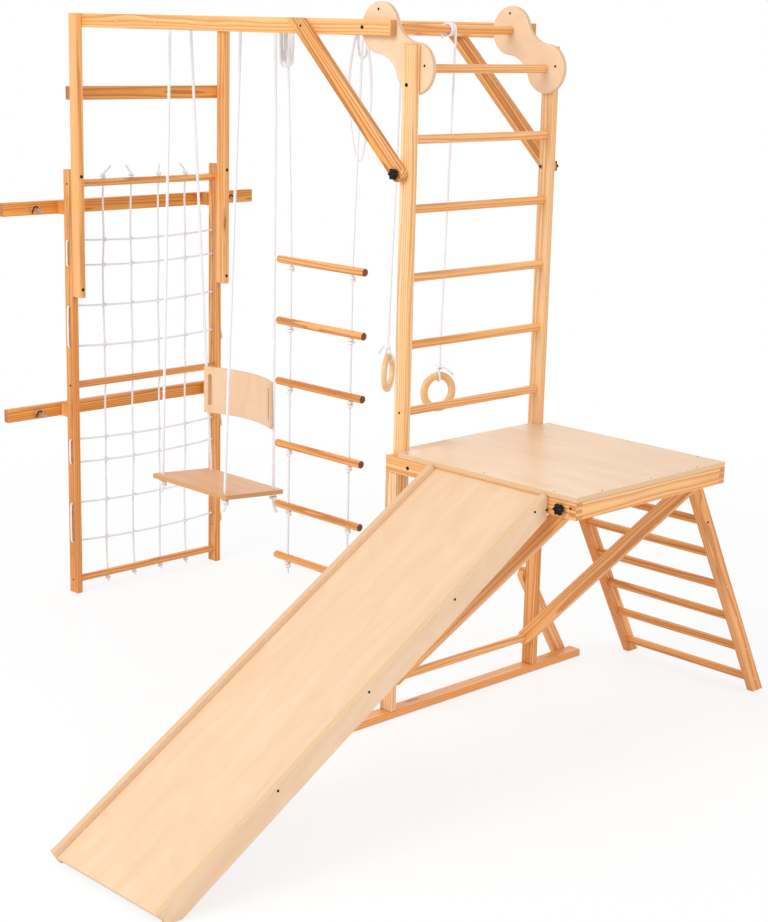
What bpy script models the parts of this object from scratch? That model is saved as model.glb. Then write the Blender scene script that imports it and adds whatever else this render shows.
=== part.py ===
"""Indoor climbing set.

A wall ladder with a climbing net carries one end of a pair of overhead beams with monkey bars.
A rung tower carries the other end and stands on a platform frame with a side ladder and a slide.
A board swing, a rope ladder and two rings hang from the bars.

Metres, +Z up.  The origin is on the floor under the middle of the tower.  The wall is at -X, the
platform at +X, the slide runs down towards -Y and the side ladder leans at +Y.
"""
import math

import bmesh
import bpy
from mathutils import Matrix, Vector

# Clearances
GAP = 0.0003
HOLE_CLEARANCE = 0.0008
WINDING_GAP = 0.0008

# Timber stock
POST_W = 0.054
POST_T = 0.028
EDGE_R = 0.0025
PLY_T = 0.018
BAR_D = 0.030
BAR_SEAT = 0.012
BAR_SIDES = 12
RAIL_H = 0.056

# Rung tower
INNER_W = 0.670
TOWER_H = 2.330
RUNG_PITCH = 0.230
RUNG_COUNT = 6
FIRST_RUNG_RISE = 0.130
UPRIGHT_LAP = 0.178

# Platform
PLATFORM_H = 0.972
PLATFORM_REACH = 0.820
RAIL_BACK = 0.031
DECK_TONGUE = 0.012
FINGERS = 5
BEARER_L = 1.300
BASE_RUNG_Z = 0.138
BRACE_KNOB_INSET = 0.061
STRUT_BOLT_Z = 0.372
STRUT_SPREAD = 0.213

# Overhead beams and monkey bars
BEAM_Z = 2.380
BAR_PITCH = 0.239
BAR_COUNT = 7
FIRST_BAR_X = -0.169
BEAM_OVERHANG = 0.081
PLATE_R = 0.0855
PLATE_WAIST = 0.106
KNEE_SCREW_X = -0.511
KNEE_KNOB_X = -0.016
KNEE_KNOB_Z = 1.910

# Wall ladder
WALL_X = -1.887
UPPER_POST_FOOT = 1.275
LOWER_POST_H = 1.790
WALL_RUNG_HEIGHTS = (0.057, 0.900, 1.733)
TOP_RAIL_Z = 2.095
WALL_BOARD_HEIGHTS = (0.788, 1.633)
WALL_BOARD_L = 1.300
SPACER_T = 0.046

# Side ladder
SIDE_LADDER_INSET = 0.113
SIDE_LADDER_W = 0.617
SIDE_LEAN = math.radians(28.6)
SIDE_RUNG_PITCH = 0.152
SIDE_RUNG_COUNT = 6
SIDE_FIRST_RUNG_Z = 0.052

# Slide
SLIDE_INSET = 0.1155
SLIDE_W = 0.519
SLIDE_ANGLE = math.radians(31.2)
SLIDE_BOARD_T = 0.020
SLIDE_BOARD_D = 0.078
SLIDE_NOSE_H = 0.042
SLIDE_LIP = 0.020
SLIDE_DECK_T = 0.012
SLIDE_TOP_R = 0.014
SLIDE_BATTENS = 4

# Ropes
SWING_ROPE_D = 0.0115
LADDER_ROPE_D = 0.010
RING_ROPE_D = 0.008
NET_ROPE_D = 0.008
KNOT_SCALE = 1.9
ROPE_SEAT = 0.0005
ROPE_STAND = 0.0015
ROPE_SWERVE = 0.060
LACE_EASE = 0.012
TURN_STEPS = 12

# Swing
SWING_BARS = (6, 4)
SWING_LASH_Y = (-0.121, 0.018)
SEAT_L = 0.478
SEAT_W = 0.305
SEAT_T = 0.020
SEAT_Z = 0.544
SEAT_Y = -0.050
SEAT_TILT = math.radians(4.3)
SEAT_HOLES_L = 0.405
SEAT_HOLES_W = 0.255
BACKREST_L = 0.430
BACKREST_H = 0.195
BACKREST_Z = 0.885
BACKREST_T = 0.009
BACKREST_BOW = 0.050
SLOT_H = 0.135
SLOT_W = 0.016
SLOT_X = 0.189

# Rope ladder
LADDER_BARS = (3, 2)
LADDER_LASH_Y = (-0.105, 0.034)
LADDER_X = -0.7455
LADDER_Y = -0.055
LADDER_RUNG_L = 0.482
LADDER_ROPES_W = 0.343
LADDER_TOP_Z = 1.503
LADDER_PITCH = 0.238
LADDER_SLIPS = (0.0, 0.0, 0.0, 0.012, 0.020, -0.006)
LADDER_RUNGS = 6

# Rings
RING_BARS = (1, 0)
RING_Y = (-0.020, 0.0)
RING_Z = (1.142, 1.105)
RING_YAW = (math.radians(31.0), math.radians(166.0))
RING_TAILS = (0.0, -6.0)
RING_D = 0.145
RING_WIDTH = 0.027
RING_T = 0.019

# Climbing net
NET_PITCH = 0.142
NET_COUNT = 4
NET_ROWS_UPPER = (1.503, 1.400, 1.232, 1.063)
NET_ROWS_LOWER = (0.667, 0.567, 0.392, 0.225)
NET_SAG = 0.012
NET_TAIL = 0.055
ROPE_TAIL = 0.030

# Hardware
KNOB_R = 0.018
KNOB_LOBE = 0.0022
KNOB_LOBES = 6
HUB_R = 0.012
HUB_H = 0.006
KNOB_H = 0.022
STUD_R = 0.004
STUD_END = 0.003

# Layers across the frame, and heights worked out from the sizes above
INNER_Y = INNER_W / 2
MID_Y = INNER_Y + POST_T + GAP
OUTER_Y = MID_Y + POST_T
BAR_R = BAR_D / 2
RAIL_TOP = PLATFORM_H - PLY_T - GAP
RAIL_BOTTOM = RAIL_TOP - RAIL_H
FIRST_RUNG_Z = PLATFORM_H + FIRST_RUNG_RISE
GRIP_Z = FIRST_RUNG_Z + (RUNG_COUNT - 1) * RUNG_PITCH
BEAM_TOP = BEAM_Z + POST_W / 2
LOWER_POST_X = -RAIL_BACK + POST_W / 2
BAR_XS = [FIRST_BAR_X - i * BAR_PITCH for i in range(BAR_COUNT)]
NET_X = WALL_X - POST_W / 2
NET_YS = [(i - (NET_COUNT - 1) / 2) * NET_PITCH for i in range(NET_COUNT)]
RAIL_MID_Z = (RAIL_TOP + RAIL_BOTTOM) / 2
BRACE_KNOB_X = PLATFORM_REACH - BRACE_KNOB_INSET
SIDE_LADDER_X = PLATFORM_REACH - SIDE_LADDER_INSET - SIDE_LADDER_W / 2
SLIDE_X = PLATFORM_REACH - SLIDE_INSET - SLIDE_W / 2
SLIDE_BACK_Y = -OUTER_Y - GAP
SIDES = (("front", -1), ("rear", 1))


def material(name, colour, roughness, metallic=0.0):
    """A plain Principled material."""
    mat = bpy.data.materials.new(name)
    mat.use_nodes = True
    shader = mat.node_tree.nodes["Principled BSDF"]
    shader.inputs["Base Color"].default_value = (*colour, 1.0)
    shader.inputs["Roughness"].default_value = roughness
    shader.inputs["Metallic"].default_value = metallic
    mat.diffuse_color = (*colour, 1.0)
    return mat


def add_object(name, bm, mat, smooth=False):
    """Turn a bmesh into a named object with its faces pointing out."""
    bmesh.ops.recalc_face_normals(bm, faces=bm.faces)
    mesh = bpy.data.meshes.new(name)
    bm.to_mesh(mesh)
    bm.free()
    mesh.materials.append(mat)
    if smooth:
        mesh.shade_smooth()
        mesh.set_sharp_from_angle(angle=math.radians(40))
    obj = bpy.data.objects.new(name, mesh)
    bpy.context.collection.objects.link(obj)
    return obj


def round_edges(obj, width=EDGE_R):
    """Ease the long edges of a board."""
    bevel = obj.modifiers.new("eased_edges", "BEVEL")
    bevel.width = width
    bevel.segments = 1
    bevel.limit_method = "ANGLE"
    bevel.angle_limit = math.radians(50)


def cut(obj, cutter):
    """Subtract a cutter from a piece."""
    boolean = obj.modifiers.new("cut", "BOOLEAN")
    boolean.operation = "DIFFERENCE"
    boolean.object = cutter


def add_box(bm, low, high):
    """Add a box between two corners."""
    centre = (Vector(low) + Vector(high)) / 2
    size = Vector(high) - Vector(low)
    matrix = Matrix.Translation(centre) @ Matrix.Diagonal((*size, 1.0))
    bmesh.ops.create_cube(bm, size=1.0, matrix=matrix)


def add_rod(bm, start, end, radius, sides=BAR_SIDES):
    """Add a round rod between two points."""
    start, end = Vector(start), Vector(end)
    turn = (end - start).to_track_quat("Z", "Y").to_matrix().to_4x4()
    matrix = Matrix.Translation((start + end) / 2) @ turn
    bmesh.ops.create_cone(bm, cap_ends=True, segments=sides, radius1=radius, radius2=radius,
                          depth=(end - start).length, matrix=matrix)


def add_prism(bm, outline, axis, low, high):
    """Extrude a flat outline along an axis.

    The outline's two coordinates are the remaining axes in X, Y, Z order.
    """
    place = {
        "X": lambda a, b, depth: (depth, a, b),
        "Y": lambda a, b, depth: (a, depth, b),
        "Z": lambda a, b, depth: (a, b, depth),
    }[axis]
    ends = [[bm.verts.new(place(a, b, depth)) for a, b in outline] for depth in (low, high)]
    bm.faces.new(ends[0])
    bm.faces.new(ends[1])
    for i in range(len(outline)):
        j = (i + 1) % len(outline)
        bm.faces.new((ends[0][i], ends[0][j], ends[1][j], ends[1][i]))


def board(name, low, high, mat):
    """A straight board with eased edges."""
    bm = bmesh.new()
    add_box(bm, low, high)
    obj = add_object(name, bm, mat)
    round_edges(obj)
    return obj


def shaped_board(name, outline, axis, low, high, mat):
    """A board cut to an outline, with eased edges."""
    bm = bmesh.new()
    add_prism(bm, outline, axis, low, high)
    obj = add_object(name, bm, mat)
    round_edges(obj)
    return obj


def rods(name, runs, radius, mat):
    """A group of separate round rods under one name."""
    bm = bmesh.new()
    for start, end in runs:
        add_rod(bm, start, end, radius)
    return add_object(name, bm, mat, smooth=True)


def drill(name, runs, radius):
    """A cutter made of round rods."""
    bm = bmesh.new()
    for start, end in runs:
        add_rod(bm, start, end, radius)
    return as_cutter(add_object(name, bm, CUTTER))


def as_cutter(obj):
    """Keep a cutter out of the finished model."""
    obj.hide_render = True
    obj.display_type = "WIRE"
    return obj


def glue(obj, *others):
    """Make one body of pieces that are glued together."""
    for other in others:
        boolean = obj.modifiers.new("glue", "BOOLEAN")
        boolean.operation = "UNION"
        boolean.object = as_cutter(other)


def hang(name, pivot, pieces):
    """Hang pieces from an empty on the axis that they swing about."""
    empty = bpy.data.objects.new(name, None)
    empty.location = pivot
    bpy.context.collection.objects.link(empty)
    for piece in pieces:
        piece.parent = empty
        piece.matrix_parent_inverse = Matrix.Translation(pivot).inverted()


def span(low, high, sign):
    """A range across the frame, mirrored to the front or the rear."""
    return sorted((sign * low, sign * high))


def arc(centre, radius, start, end, steps):
    """Points along an arc, both ends included."""
    points = []
    for i in range(steps + 1):
        angle = start + (end - start) * i / steps
        points.append((centre[0] + radius * math.cos(angle), centre[1] + radius * math.sin(angle)))
    return points


def strap_outline(low, high, width, level_end=None):
    """A strap between two bolts, rounded about them or cut level at a height at one end.

    The level cut is at the end of the strap named by the second bolt.
    """
    angle = math.atan2(high[1] - low[1], high[0] - low[0])
    half = width / 2
    outline = arc(low, half, angle + math.pi / 2, angle + 3 * math.pi / 2, 8)
    if level_end is None:
        return outline + arc(high, half, angle - math.pi / 2, angle + math.pi / 2, 8)
    for point in (outline[-1], outline[0]):
        run = (level_end - point[1]) / math.tan(angle)
        outline.append((point[0] + run, level_end))
    return outline


def rope(name, runs, diameter, mat):
    """Ropes as filled tubes; each run is a list of (point, thickness) pairs."""
    curve = bpy.data.curves.new(name, "CURVE")
    curve.dimensions = "3D"
    curve.bevel_depth = diameter / 2
    curve.bevel_resolution = 1
    curve.use_fill_caps = True
    for run in runs:
        spline = curve.splines.new("POLY")
        spline.points.add(len(run) - 1)
        for item, (point, thickness) in zip(spline.points, run):
            item.co = (*point, 1.0)
            item.radius = thickness
        spline.use_smooth = True
    curve.materials.append(mat)
    obj = bpy.data.objects.new(name, curve)
    bpy.context.collection.objects.link(obj)
    return obj


def plain(points):
    """A run of even thickness."""
    return [(Vector(p), 1.0) for p in points]


def knot_down(x, y, top, diameter):
    """A knot on a rope that comes down to a surface, from the surface to just below the knot."""
    heights = (0.06, 0.35, 1.25, 2.1, 2.5)
    sizes = (1.0, KNOT_SCALE, KNOT_SCALE, 1.1, 1.0)
    return [(Vector((x, y, top - h * diameter)), s) for h, s in zip(heights, sizes)]


def least_gap(name, run, diameter):
    """Print the least gap between a winding and itself."""
    points = [Vector(p) for p, _ in run]
    along = [0.0]
    for a, b in zip(points, points[1:]):
        along.append(along[-1] + (b - a).length)
    least = 1.0
    for i, a in enumerate(points):
        for j in range(i + 1, len(points)):
            if along[j] - along[i] > 3 * diameter:
                least = min(least, (points[j] - a).length - diameter)
    print(f"{name}: least gap to itself {least * 1000:.2f} mm")


def over_bar(bar_x, side, y, diameter, turns):
    """Turns of rope over a bar that runs along Y, from a short tail at the bar's side.

    Each turn is (advance along Y, drop below the bar, bulge).  It moves along the bar on its way
    over the top.  A tight turn has no drop; a slack loop hangs down by its drop and swells by its
    bulge.  A last half turn brings the rope down on the far side of the bar.
    """
    reach = (BAR_R + diameter / 2 + GAP) / math.cos(math.pi / TURN_STEPS)
    half = TURN_STEPS // 2
    crest = [(math.cos(math.pi * k / half), math.sin(math.pi * k / half)) for k in range(half)]
    points = [(bar_x + side * reach, y, BEAM_Z - ROPE_TAIL)]
    for advance, drop, bulge in list(turns) + [(turns[-1][0], None, 0.0)]:
        for k, (c, s) in enumerate(crest):
            points.append((bar_x + side * reach * c, y + advance * k / half, BEAM_Z + reach * s))
        y += advance
        if drop is None:
            break
        lower = slack_loop(reach, drop, bulge) if drop else [(-reach * c, -reach * s) for c, s in crest]
        points += [(bar_x + side * a, y, BEAM_Z + b) for a, b in lower]
    points.append((bar_x - side * reach, y, BEAM_Z))
    points.append((bar_x - side * reach, y, BEAM_Z - ROPE_TAIL))
    return points


def slack_loop(reach, drop, bulge):
    """The hanging part of a slack loop, from the far side of the bar round to the near side."""
    legs = 6
    side = drop - reach
    down = [(-reach - bulge * math.sin(math.pi * k / legs), -side * k / legs) for k in range(legs)]
    bottom = [(-reach * math.cos(a), -side - reach * math.sin(a))
              for a in (math.pi * k / 6 for k in range(7))]
    up = [(-a, b) for a, b in reversed(down[1:])]
    return down + bottom + up


def ring_section():
    """The rounded section of a ring, as (radial, axial) offsets from its middle."""
    points = []
    for k in range(8):
        angle = 2 * math.pi * (k + 0.5) / 8
        c, s = math.cos(angle), math.sin(angle)
        size = (abs(c) ** 3 + abs(s) ** 3) ** (-1 / 3)
        points.append((RING_WIDTH / 2 * c * size, RING_T / 2 * s * size))
    return points


def add_ring(name, centre, yaw, mat):
    """One gymnastic ring."""
    bm = bmesh.new()
    section = ring_section()
    radius = (RING_D - RING_WIDTH) / 2
    hoops = []
    for i in range(24):
        angle = 2 * math.pi * i / 24
        hoop = []
        for radial, axial in section:
            r = radius + radial
            hoop.append(bm.verts.new((axial, r * math.cos(angle), r * math.sin(angle))))
        hoops.append(hoop)
    for i in range(24):
        near, far = hoops[i], hoops[(i + 1) % 24]
        for k in range(8):
            m = (k + 1) % 8
            bm.faces.new((near[k], near[m], far[m], far[k]))
    bmesh.ops.transform(bm, matrix=Matrix.Translation(centre) @ Matrix.Rotation(yaw, 4, "Z"),
                        verts=bm.verts)
    return add_object(name, bm, mat, smooth=True)


def add_knob(name, x, z, sign, stud_depth, mat):
    """A star knob with its threaded stud, pointing out of the frame along Y."""
    levels = (
        (-stud_depth, STUD_R, 0.0),
        (0.0, STUD_R, 0.0),
        (0.0, HUB_R, 0.0),
        (HUB_H, HUB_R, 0.0),
        (HUB_H, KNOB_R - 0.002, KNOB_LOBE),
        (HUB_H + 0.002, KNOB_R, KNOB_LOBE),
        (KNOB_H - 0.004, KNOB_R, KNOB_LOBE),
        (KNOB_H, KNOB_R * 0.6, KNOB_LOBE / 2),
    )
    count = KNOB_LOBES * 4
    bm = bmesh.new()
    loops = []
    for height, radius, lobe in levels:
        loop = []
        for k in range(count):
            angle = 2 * math.pi * k / count
            r = radius + lobe * math.cos(KNOB_LOBES * angle)
            loop.append(bm.verts.new((r * math.cos(angle), sign * height, r * math.sin(angle))))
        loops.append(loop)
    for near, far in zip(loops, loops[1:]):
        for k in range(count):
            m = (k + 1) % count
            bm.faces.new((near[k], near[m], far[m], far[k]))
    bm.faces.new(loops[0])
    bm.faces.new(loops[-1])
    obj = add_object(name, bm, mat, smooth=True)
    obj.location = (x, sign * (OUTER_Y + GAP), z)
    return obj


def build_tower():
    """Uprights glued to their rungs, the grip rung, and the plates that carry the beams."""
    cutter = drill("knee_stud_hole", [((KNEE_KNOB_X, -OUTER_Y - POST_T, KNEE_KNOB_Z),
                                       (KNEE_KNOB_X, OUTER_Y + POST_T, KNEE_KNOB_Z))],
                   STUD_R + HOLE_CLEARANCE)
    foot = RAIL_BOTTOM - UPRIGHT_LAP
    uprights = []
    for label, sign in SIDES:
        y0, y1 = span(INNER_Y, INNER_Y + POST_T, sign)
        name = "tower_ladder" if sign < 0 else "tower_upright_rear"
        uprights.append(board(name, (-POST_W / 2, y0, foot), (POST_W / 2, y1, TOWER_H), PINE))
        y0, y1 = span(INNER_Y - GAP - PLY_T, INNER_Y - GAP, sign)
        shaped_board(f"connector_plate_{label}", plate_outline(), "Y", y0, y1, PLY)
        y0, y1 = span(MID_Y, OUTER_Y, sign)
        knee = strap_outline((KNEE_KNOB_X, KNEE_KNOB_Z), (KNEE_SCREW_X, BEAM_Z), POST_W, BEAM_TOP)
        brace = shaped_board(f"knee_brace_{label}", knee, "Y", y0, y1, PINE)
        cut(brace, cutter)
    end = INNER_Y + BAR_SEAT
    runs = []
    for i in range(RUNG_COUNT - 1):
        z = FIRST_RUNG_Z + i * RUNG_PITCH
        runs.append(((0, -end, z), (0, end, z)))
    glue(uprights[0], uprights[1], rods("tower_rungs", runs, BAR_R, PINE))
    cut(uprights[0], cutter)
    end = INNER_Y - PLY_T - 2 * GAP
    rods("grip_rung", [((0, -end, GRIP_Z), (0, end, GRIP_Z))], BAR_R, PINE)


def plate_outline():
    """Two round lobes about the first monkey bar and the grip rung, with a drawn-in waist."""
    low, high = Vector((0, GRIP_Z)), Vector((FIRST_BAR_X, BEAM_Z))
    apart = (high - low).length
    angle = math.atan2(high.y - low.y, high.x - low.x)
    half = PLATE_WAIST / 2
    fillet = ((apart / 2) ** 2 + half ** 2 - PLATE_R ** 2) / (2 * (PLATE_R - half))
    lean = math.atan2(half + fillet, apart / 2)
    middle = (low + high) / 2
    side = Vector((-math.sin(angle), math.cos(angle))) * (half + fillet)
    outline = arc(low, PLATE_R, angle + lean, angle + 2 * math.pi - lean, 18)
    outline += arc(middle - side, fillet, angle + math.pi - lean, angle + lean, 6)[1:-1]
    outline += arc(high, PLATE_R, angle - math.pi + lean, angle + math.pi - lean, 18)
    outline += arc(middle + side, fillet, angle - lean, angle - math.pi + lean, 6)[1:-1]
    return outline


def build_overhead():
    """The two beams glued to their monkey bars, and the first bar between the plates."""
    beams = []
    for _, sign in SIDES:
        y0, y1 = span(INNER_Y, INNER_Y + POST_T, sign)
        name = "overhead_ladder" if sign < 0 else "overhead_beam_rear"
        beams.append(board(name, (WALL_X, y0, BEAM_Z - POST_W / 2),
                           (FIRST_BAR_X + BEAM_OVERHANG, y1, BEAM_TOP), PINE))
    end = INNER_Y + BAR_SEAT
    runs = [((x, -end, BEAM_Z), (x, end, BEAM_Z)) for x in BAR_XS[1:]]
    glue(beams[0], beams[1], rods("monkey_bars", runs, BAR_R, PINE))
    end = INNER_Y - PLY_T - 2 * GAP
    rods("monkey_bar_first", [((FIRST_BAR_X, -end, BEAM_Z), (FIRST_BAR_X, end, BEAM_Z))], BAR_R, PINE)


def finger_edges(low, high, shallow, deep, first_deep):
    """A comb of finger joints: (position, height) points from one height to the other."""
    points = []
    step = (high - low) / FINGERS
    for i in range(FINGERS):
        edge = deep if (i % 2 == 0) == first_deep else shallow
        ends = [low + i * step, low + (i + 1) * step]
        pull = GAP / 2 if edge == deep else -GAP / 2
        ends[0] += pull if i else 0.0
        ends[1] -= pull if i < FINGERS - 1 else 0.0
        points += [(edge, ends[0]), (edge, ends[1])]
    return points


def build_platform():
    """Deck, rails, lower posts, bearer, struts, braces and the base rung."""
    cutter = drill("brace_stud_hole", [((BRACE_KNOB_X, -OUTER_Y - POST_T, RAIL_MID_Z),
                                        (BRACE_KNOB_X, OUTER_Y + POST_T, RAIL_MID_Z))],
                   STUD_R + HOLE_CLEARANCE)
    comb = finger_edges(RAIL_BOTTOM, RAIL_TOP, PLATFORM_REACH - POST_T - GAP, PLATFORM_REACH, True)
    rail_outline = [(-RAIL_BACK, RAIL_TOP), (-RAIL_BACK, RAIL_BOTTOM)] + comb
    for label, sign in SIDES:
        y0, y1 = span(MID_Y, OUTER_Y, sign)
        rail = shaped_board(f"platform_rail_{label}", rail_outline, "Y", y0, y1, PALE_PINE)
        cut(rail, cutter)
        board(f"lower_post_{label}", (-RAIL_BACK, y0, POST_T + GAP),
              (-RAIL_BACK + POST_W, y1, RAIL_BOTTOM - GAP), PALE_PINE)
        y0, y1 = span(INNER_Y, INNER_Y + POST_T, sign)
        strap = strap_outline((LOWER_POST_X, BASE_RUNG_Z), (BRACE_KNOB_X, RAIL_MID_Z), POST_W)
        brace = shaped_board(f"platform_brace_{label}", strap, "Y", y0, y1, PALE_PINE)
        cut(brace, cutter)
        bolt = (sign * (MID_Y + POST_T / 2), STRUT_BOLT_Z)
        foot = (bolt[0] + sign * STRUT_SPREAD, POST_T)
        strut = strap_outline(bolt, foot, POST_W, 0.0)
        shaped_board(f"bearer_strut_{label}", strut, "X", -RAIL_BACK - GAP - POST_T,
                     -RAIL_BACK - GAP, PALE_PINE)
    left = finger_edges(RAIL_BOTTOM, RAIL_TOP, MID_Y - GAP, OUTER_Y, False)
    right = [(-y, z) for y, z in reversed(left)]
    shaped_board("platform_rail_end", left + right, "X", PLATFORM_REACH - POST_T, PLATFORM_REACH,
                 PALE_PINE)
    deck = [
        (POST_W / 2 + GAP, -OUTER_Y), (PLATFORM_REACH, -OUTER_Y),
        (PLATFORM_REACH, OUTER_Y), (POST_W / 2 + GAP, OUTER_Y),
        (POST_W / 2 + GAP, INNER_Y - GAP), (-DECK_TONGUE, INNER_Y - GAP),
        (-DECK_TONGUE, -INNER_Y + GAP), (POST_W / 2 + GAP, -INNER_Y + GAP),
    ]
    shaped_board("platform_deck", deck, "Z", PLATFORM_H - PLY_T, PLATFORM_H, PLY)
    board("floor_bearer", (-RAIL_BACK, -BEARER_L / 2, 0), (-RAIL_BACK + POST_W, BEARER_L / 2, POST_T),
          PINE)
    end = INNER_Y - GAP
    rods("base_rung", [((LOWER_POST_X, -end, BASE_RUNG_Z), (LOWER_POST_X, end, BASE_RUNG_Z))],
         BAR_R, PINE)


def build_side_ladder():
    """The ladder that leans under the rear rail."""
    top = RAIL_BOTTOM - GAP
    half = POST_W / 2 / math.cos(SIDE_LEAN)
    top_y = MID_Y + POST_T / 2

    def centre(z):
        return top_y + (top - z) * math.tan(SIDE_LEAN)

    leg = [
        (centre(0) - half, 0), (centre(0) + half, 0), (top_y + half, top), (MID_Y, top),
        (MID_Y, top - (MID_Y - top_y + half) / math.tan(SIDE_LEAN)),
    ]
    x_in = SIDE_LADDER_W / 2 - POST_T
    legs = []
    for name, sign in (("side_ladder", -1), ("side_ladder_leg_right", 1)):
        x0, x1 = sorted((SIDE_LADDER_X + sign * x_in, SIDE_LADDER_X + sign * SIDE_LADDER_W / 2))
        legs.append(shaped_board(name, leg, "X", x0, x1, ORANGE_PINE))
    end = x_in + BAR_SEAT
    runs = []
    for i in range(SIDE_RUNG_COUNT):
        z = SIDE_FIRST_RUNG_Z + i * SIDE_RUNG_PITCH * math.cos(SIDE_LEAN)
        runs.append(((SIDE_LADDER_X - end, centre(z), z), (SIDE_LADDER_X + end, centre(z), z)))
    glue(legs[0], legs[1], rods("side_ladder_rungs", runs, BAR_R, ORANGE_PINE))


def slide_frame():
    """The slide's nose point, and its unit directions up the slope and square to it."""
    up = Vector((0, math.cos(SLIDE_ANGLE), math.sin(SLIDE_ANGLE)))
    down = Vector((0, math.sin(SLIDE_ANGLE), -math.cos(SLIDE_ANGLE)))
    length = (PLATFORM_H - SLIDE_NOSE_H) / math.sin(SLIDE_ANGLE)
    nose = Vector((0, SLIDE_BACK_Y, PLATFORM_H)) - up * length
    return nose, up, down, length


def build_slide():
    """Side boards of the slide, and its deck with the battens glued under it."""
    nose, up, down, length = slide_frame()
    toe = nose + down * (SLIDE_NOSE_H / math.cos(SLIDE_ANGLE))
    low = nose + down * SLIDE_BOARD_D
    heel = low + up * (-low.z / math.sin(SLIDE_ANGLE))
    back_low = low + up * ((SLIDE_BACK_Y - low.y) / math.cos(SLIDE_ANGLE))
    turn = math.pi / 2 + SLIDE_ANGLE
    hug = SLIDE_TOP_R * math.tan((math.pi / 2 + SLIDE_ANGLE) / 2)
    corner = arc((SLIDE_BACK_Y - SLIDE_TOP_R, PLATFORM_H - hug), SLIDE_TOP_R, 0.0, turn, 5)
    outline = [(nose.y, nose.z), (toe.y, toe.z), (heel.y, heel.z), (back_low.y, back_low.z)] + corner
    half = SLIDE_W / 2
    for label, sign in (("left", -1), ("right", 1)):
        x0, x1 = sorted((SLIDE_X + sign * (half - SLIDE_BOARD_T), SLIDE_X + sign * half))
        shaped_board(f"slide_side_{label}", outline, "X", x0, x1, PLY)
    x0 = SLIDE_X - half + SLIDE_BOARD_T + GAP
    x1 = SLIDE_X + half - SLIDE_BOARD_T - GAP
    top, under = nose + down * SLIDE_LIP, nose + down * (SLIDE_LIP + SLIDE_DECK_T)
    reach_top = (SLIDE_BACK_Y - top.y) / math.cos(SLIDE_ANGLE)
    reach_under = (SLIDE_BACK_Y - under.y) / math.cos(SLIDE_ANGLE)
    deck = [top, under]
    for i in range(SLIDE_BATTENS):
        start = under + up * (length * (i + 0.6) / SLIDE_BATTENS)
        deck += [start, start + down * POST_T, start + down * POST_T + up * POST_W,
                 start + up * POST_W]
    deck += [under + up * reach_under, top + up * reach_top]
    shaped_board("slide_deck", [(p.y, p.z) for p in deck], "X", x0, x1, PLY)


def build_wall_ladder():
    """Posts, rungs, top rail and wall boards at the wall."""
    holes = []
    for z in NET_ROWS_UPPER + NET_ROWS_LOWER:
        holes.append(((NET_X, -OUTER_Y - POST_T, z), (NET_X, -MID_Y + POST_T, z)))
        holes.append(((NET_X, MID_Y - POST_T, z), (NET_X, OUTER_Y + POST_T, z)))
    lace_holes = drill("lace_holes", holes, NET_ROPE_D / 2 + HOLE_CLEARANCE)
    for label, sign in SIDES:
        y0, y1 = span(MID_Y, OUTER_Y, sign)
        post = board(f"wall_lower_post_{label}", (WALL_X - POST_W, y0, 0),
                     (WALL_X - GAP, y1, LOWER_POST_H), ORANGE_PINE)
        cut(post, lace_holes)
        board(f"wall_upper_post_{label}", (WALL_X, y0, UPPER_POST_FOOT),
              (WALL_X + POST_W, y1, BEAM_TOP), ORANGE_PINE)
    low, high = WALL_RUNG_HEIGHTS[0] - BAR_D, WALL_RUNG_HEIGHTS[-1] + BAR_D
    net_holes = drill("net_holes", [((NET_X, y, low), (NET_X, y, high)) for y in NET_YS],
                      NET_ROPE_D / 2 + HOLE_CLEARANCE)
    end = MID_Y - GAP
    for label, z in zip(("bottom", "middle", "top"), WALL_RUNG_HEIGHTS):
        rung = rods(f"wall_rung_{label}", [((NET_X, -end, z), (NET_X, end, z))], BAR_R, ORANGE_PINE)
        cut(rung, net_holes)
    board("wall_top_rail", (WALL_X - POST_T - GAP, -OUTER_Y, TOP_RAIL_Z - POST_W / 2),
          (WALL_X - GAP, OUTER_Y, TOP_RAIL_Z + POST_W / 2), ORANGE_PINE)
    front = WALL_X - POST_W - GAP
    face = front - SPACER_T
    half = WALL_BOARD_L / 2
    plan = [
        (face - POST_T, -half), (face - POST_T, half), (face, half), (face, OUTER_Y),
        (front, OUTER_Y), (front, MID_Y), (face, MID_Y), (face, -MID_Y),
        (front, -MID_Y), (front, -OUTER_Y), (face, -OUTER_Y), (face, -half),
    ]
    for label, z in zip(("lower", "upper"), WALL_BOARD_HEIGHTS):
        shaped_board(f"wall_board_{label}", plan, "Z", z - POST_W / 2, z + POST_W / 2, ORANGE_PINE)


def build_knobs():
    """Star knobs at the knee braces and at the platform braces."""
    depth = 2 * POST_T + GAP + STUD_END
    for label, sign in SIDES:
        add_knob(f"knob_knee_{label}", KNEE_KNOB_X, KNEE_KNOB_Z, sign, depth, BLACK)
        add_knob(f"knob_platform_{label}", BRACE_KNOB_X, RAIL_MID_Z, sign, depth, BLACK)


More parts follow.
